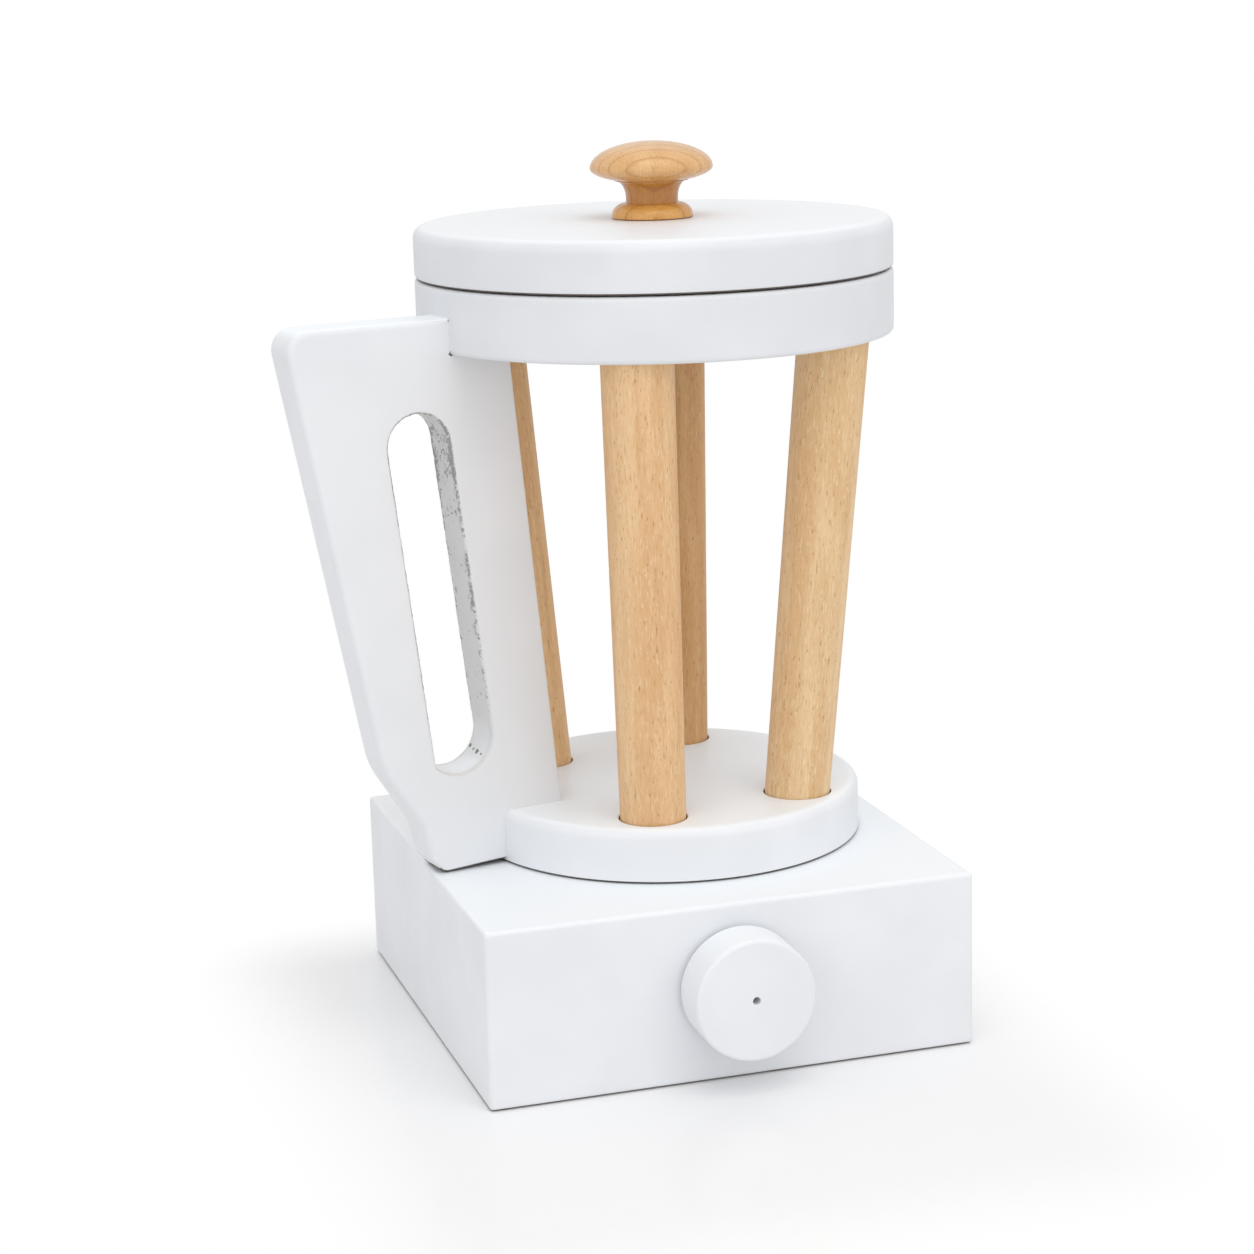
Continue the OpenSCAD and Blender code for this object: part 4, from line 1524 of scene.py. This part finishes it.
# paint that has run into the joints round the handle
filletShape = {
    "radius": 0.34,
    "spacing": 0.5,
    "variation": 0.55,
    "lowGap": 1.2,            # from the plate's lower corner at the ring to where the paint starts
    "topGap": 1.4,            # from the plate's soft top edge
    "edgeGap": 0.9,
    "underGap": 1.6,
    "sideGap": 0.2,
    "sink": 0.1,              # the bead's middle lies this far inside the joint
    "discGap": 1.4,
}


def filletTree():
    tree, given, output = newTree("paintFillet", {"Radius": 0.3, "Spacing": 0.5, "Variation": 0.5,
                                                  "Seed": 0.0, "Material": None})
    path = addNode(tree, "GeometryNodeResampleCurve", {"Curve": given["Geometry"],
                                                       "Length": given["Spacing"]}, mode="LENGTH")
    along = addNode(tree, "GeometryNodeSplineParameter").outputs["Length"]
    beads = addNode(tree, "ShaderNodeTexNoise", {"W": maths(tree, "ADD", along, given["Seed"]),
                                                 "Scale": 0.8, "Detail": 1.0},
                    noise_dimensions="1D").outputs[0]
    swing = maths(tree, "MULTIPLY", maths(tree, "SUBTRACT", beads, 0.5), given["Variation"])
    size = maths(tree, "MULTIPLY", given["Radius"], maths(tree, "ADD", swing, 1.0))
    ring = addNode(tree, "GeometryNodeCurvePrimitiveCircle", {"Resolution": 10, "Radius": 1.0})
    tube = addNode(tree, "GeometryNodeCurveToMesh", {
        "Curve": path.outputs[0], "Profile Curve": ring.outputs["Curve"], "Scale": size, "Fill Caps": True})
    return endTree(tree, tube.outputs[0], given["Material"], output)


paintFillet = filletTree()


def pathCurve(name, points):
    curve = bpy.data.curves.new(name, "CURVE")
    curve.dimensions = "3D"
    spline = curve.splines.new("POLY")
    spline.points.add(len(points) - 1)
    for target, point in zip(spline.points, points):
        target.co = (*point, 1)
    return curve


def backToFront(points):
    return [(x, -y, z) for x, y, z in reversed(points)]


def filletPaths(shape):
    half, sink = handle["thick"] / 2, shape["sink"]
    edge = math.sqrt(ringRadius ** 2 - half ** 2)
    rise = [(-edge, -half, ringFoot + shape["lowGap"]), (-edge, -half, plateTop - shape["topGap"])]
    over = list(rise)
    for i in range(13):
        depth = (half - shape["edgeGap"]) * (i / 6 - 1)
        over.append((-math.sqrt(ringRadius ** 2 - depth ** 2), depth, plateTop - sink))
    over += backToFront(rise)
    side = half - shape["sideGap"]
    under = [(-edge + shape["underGap"], -half, ringFoot), (-handle["innerTop"] - sink, -side, ringFoot)]
    bend = discShape["topEdge"]
    foot = [(-math.sqrt(discRadius ** 2 - half ** 2), -half, shape["discGap"])]
    for across, up in quarter(6):
        radius = discRadius - bend + bend * across
        foot.append((-math.sqrt(radius ** 2 - half ** 2), -half, discThick - bend + bend * up))
    foot.append((-handle["innerFoot"] - sink, -side, discThick))
    return {"Ring": over, "UnderRing": under + backToFront(under), "Disc": foot + backToFront(foot)}


def buildFillets(shape):
    for seed, (joint, points) in enumerate(filletPaths(shape).items()):
        values = {"Radius": shape["radius"], "Spacing": shape["spacing"], "Variation": shape["variation"],
                  "Seed": seed * 31.0, "Material": shadedRingPaint}
        name = "paintFillet" + joint
        mesh = runTree(paintFillet, pathCurve(joint, points), values, name, jarPlace, 60)
        addPiece(name, mesh, shadedRingPaint, "jar", "white_paint")


buildFillets(filletShape)
print("paint fillets made")


# pieces that keep their CAD shape get their finish
keptNodes = {
    "base_bottom_board": (boardFinish, "plain_board"),
    "base_corner_blocks": (boardFinish, "plain_board"),
    "dial_screw": (screwSteel, "screw_steel"),
    "dial_washer": (screwSteel, "screw_steel"),
    "dial_spacer": (spacerFelt, "spacer_felt"),
}

for node, (material, slotName) in keptNodes.items():
    piece = frame["nodes"][node]
    for slot in piece.material_slots:
        slot.material = material
print("kept pieces dressed")


# floor, light and background
studio = {
    "floor": (0.895, 0.895, 0.900),
    "cloudShade": 0.985,      # the floor's faint darker clouds
    "floorRoughness": 0.14,
    "floorShine": 0.45,
    "floorHeight": -0.05,
    "floorSize": 6000,
    "litMiddle": (-10, -40, 0),
    "litHalf": (65, 90, 0),   # round this field the floor fades into the white background
    "fade": 45,
    "surround": 0.84,         # light from all sides
    "lamps": [                # place, aimed at, width, power in watts
        ((900, -1300, 850), (0, 0, 60), 1100, 2.8),
        ((-1200, -1000, 750), (0, 0, 40), 1100, 2.6),
        ((0, -600, 1350), (0, 0, 60), 1000, 4.4),
    ],
}


def floorMaterial(look):
    material, tree = newMaterial("studioFloor")
    place = objectMillimetres(tree)
    darker = tuple(look["cloudShade"] * channel for channel in look["floor"])
    cloud = ramp(tree, noiseOf(tree, place, 0.004), 0.3, 0.7)
    setShader(material, {"Base Color": mixColours(tree, cloud, look["floor"], darker),
                         "Roughness": look["floorRoughness"], "Specular IOR Level": look["floorShine"]})
    beyond = place
    for operation, *value in (("SUBTRACT", look["litMiddle"]), ("ABSOLUTE",),
                              ("SUBTRACT", look["litHalf"]), ("MAXIMUM", (0, 0, 0))):
        beyond = vectorMaths(tree, operation, beyond, *value)
    far = ramp(tree, vectorMaths(tree, "LENGTH", beyond), 0, look["fade"])
    far = maths(tree, "MULTIPLY", far, addNode(tree, "ShaderNodeLightPath").outputs["Is Camera Ray"])
    white = addNode(tree, "ShaderNodeEmission", {"Color": (1, 1, 1, 1), "Strength": 1.0}).outputs[0]
    paint = tree.nodes["Principled BSDF"].outputs[0]
    whole = addNode(tree, "ShaderNodeMixShader", {0: far, 1: paint, 2: white}).outputs[0]
    tree.links.new(whole, tree.nodes["Material Output"].inputs["Surface"])
    return material


def addFloor(look):
    bm = bmesh.new()
    bmesh.ops.create_grid(bm, x_segments=8, y_segments=8, size=look["floorSize"])
    mesh = finishMesh(bm, "studioFloor", Matrix.Translation((0, 0, look["floorHeight"])))
    mesh.materials.append(floorMaterial(look))
    newObject("studioFloor", mesh)


def addLights(look):
    for index, (place, target, width, power) in enumerate(look["lamps"]):
        lamp = bpy.data.lights.new(f"softbox{index}", "AREA")
        lamp.size = width * mm
        lamp.energy = power
        item = newObject(f"softbox{index}", lamp)
        item.location = Vector(place) * mm
        item.rotation_mode = "QUATERNION"
        item.rotation_quaternion = (Vector(target) - Vector(place)).to_track_quat("-Z", "Y")


def addBackground(look):
    # white where the camera sees it, plain soft light elsewhere
    world = bpy.data.worlds.new("studioWorld")
    bpy.context.scene.world = world
    world.use_nodes = True
    tree = world.node_tree
    rays = addNode(tree, "ShaderNodeLightPath").outputs
    seen = maths(tree, "MAXIMUM", rays["Is Camera Ray"], rays["Is Transmission Ray"])
    inputs = tree.nodes["Background"].inputs
    fill(tree, inputs["Color"], (1, 1, 1, 1))
    fill(tree, inputs["Strength"], between(tree, seen, look["surround"], 1.0))


addFloor(studio)
addLights(studio)
addBackground(studio)
bpy.context.scene.view_settings.view_transform = "Standard"
print("floor and light set")
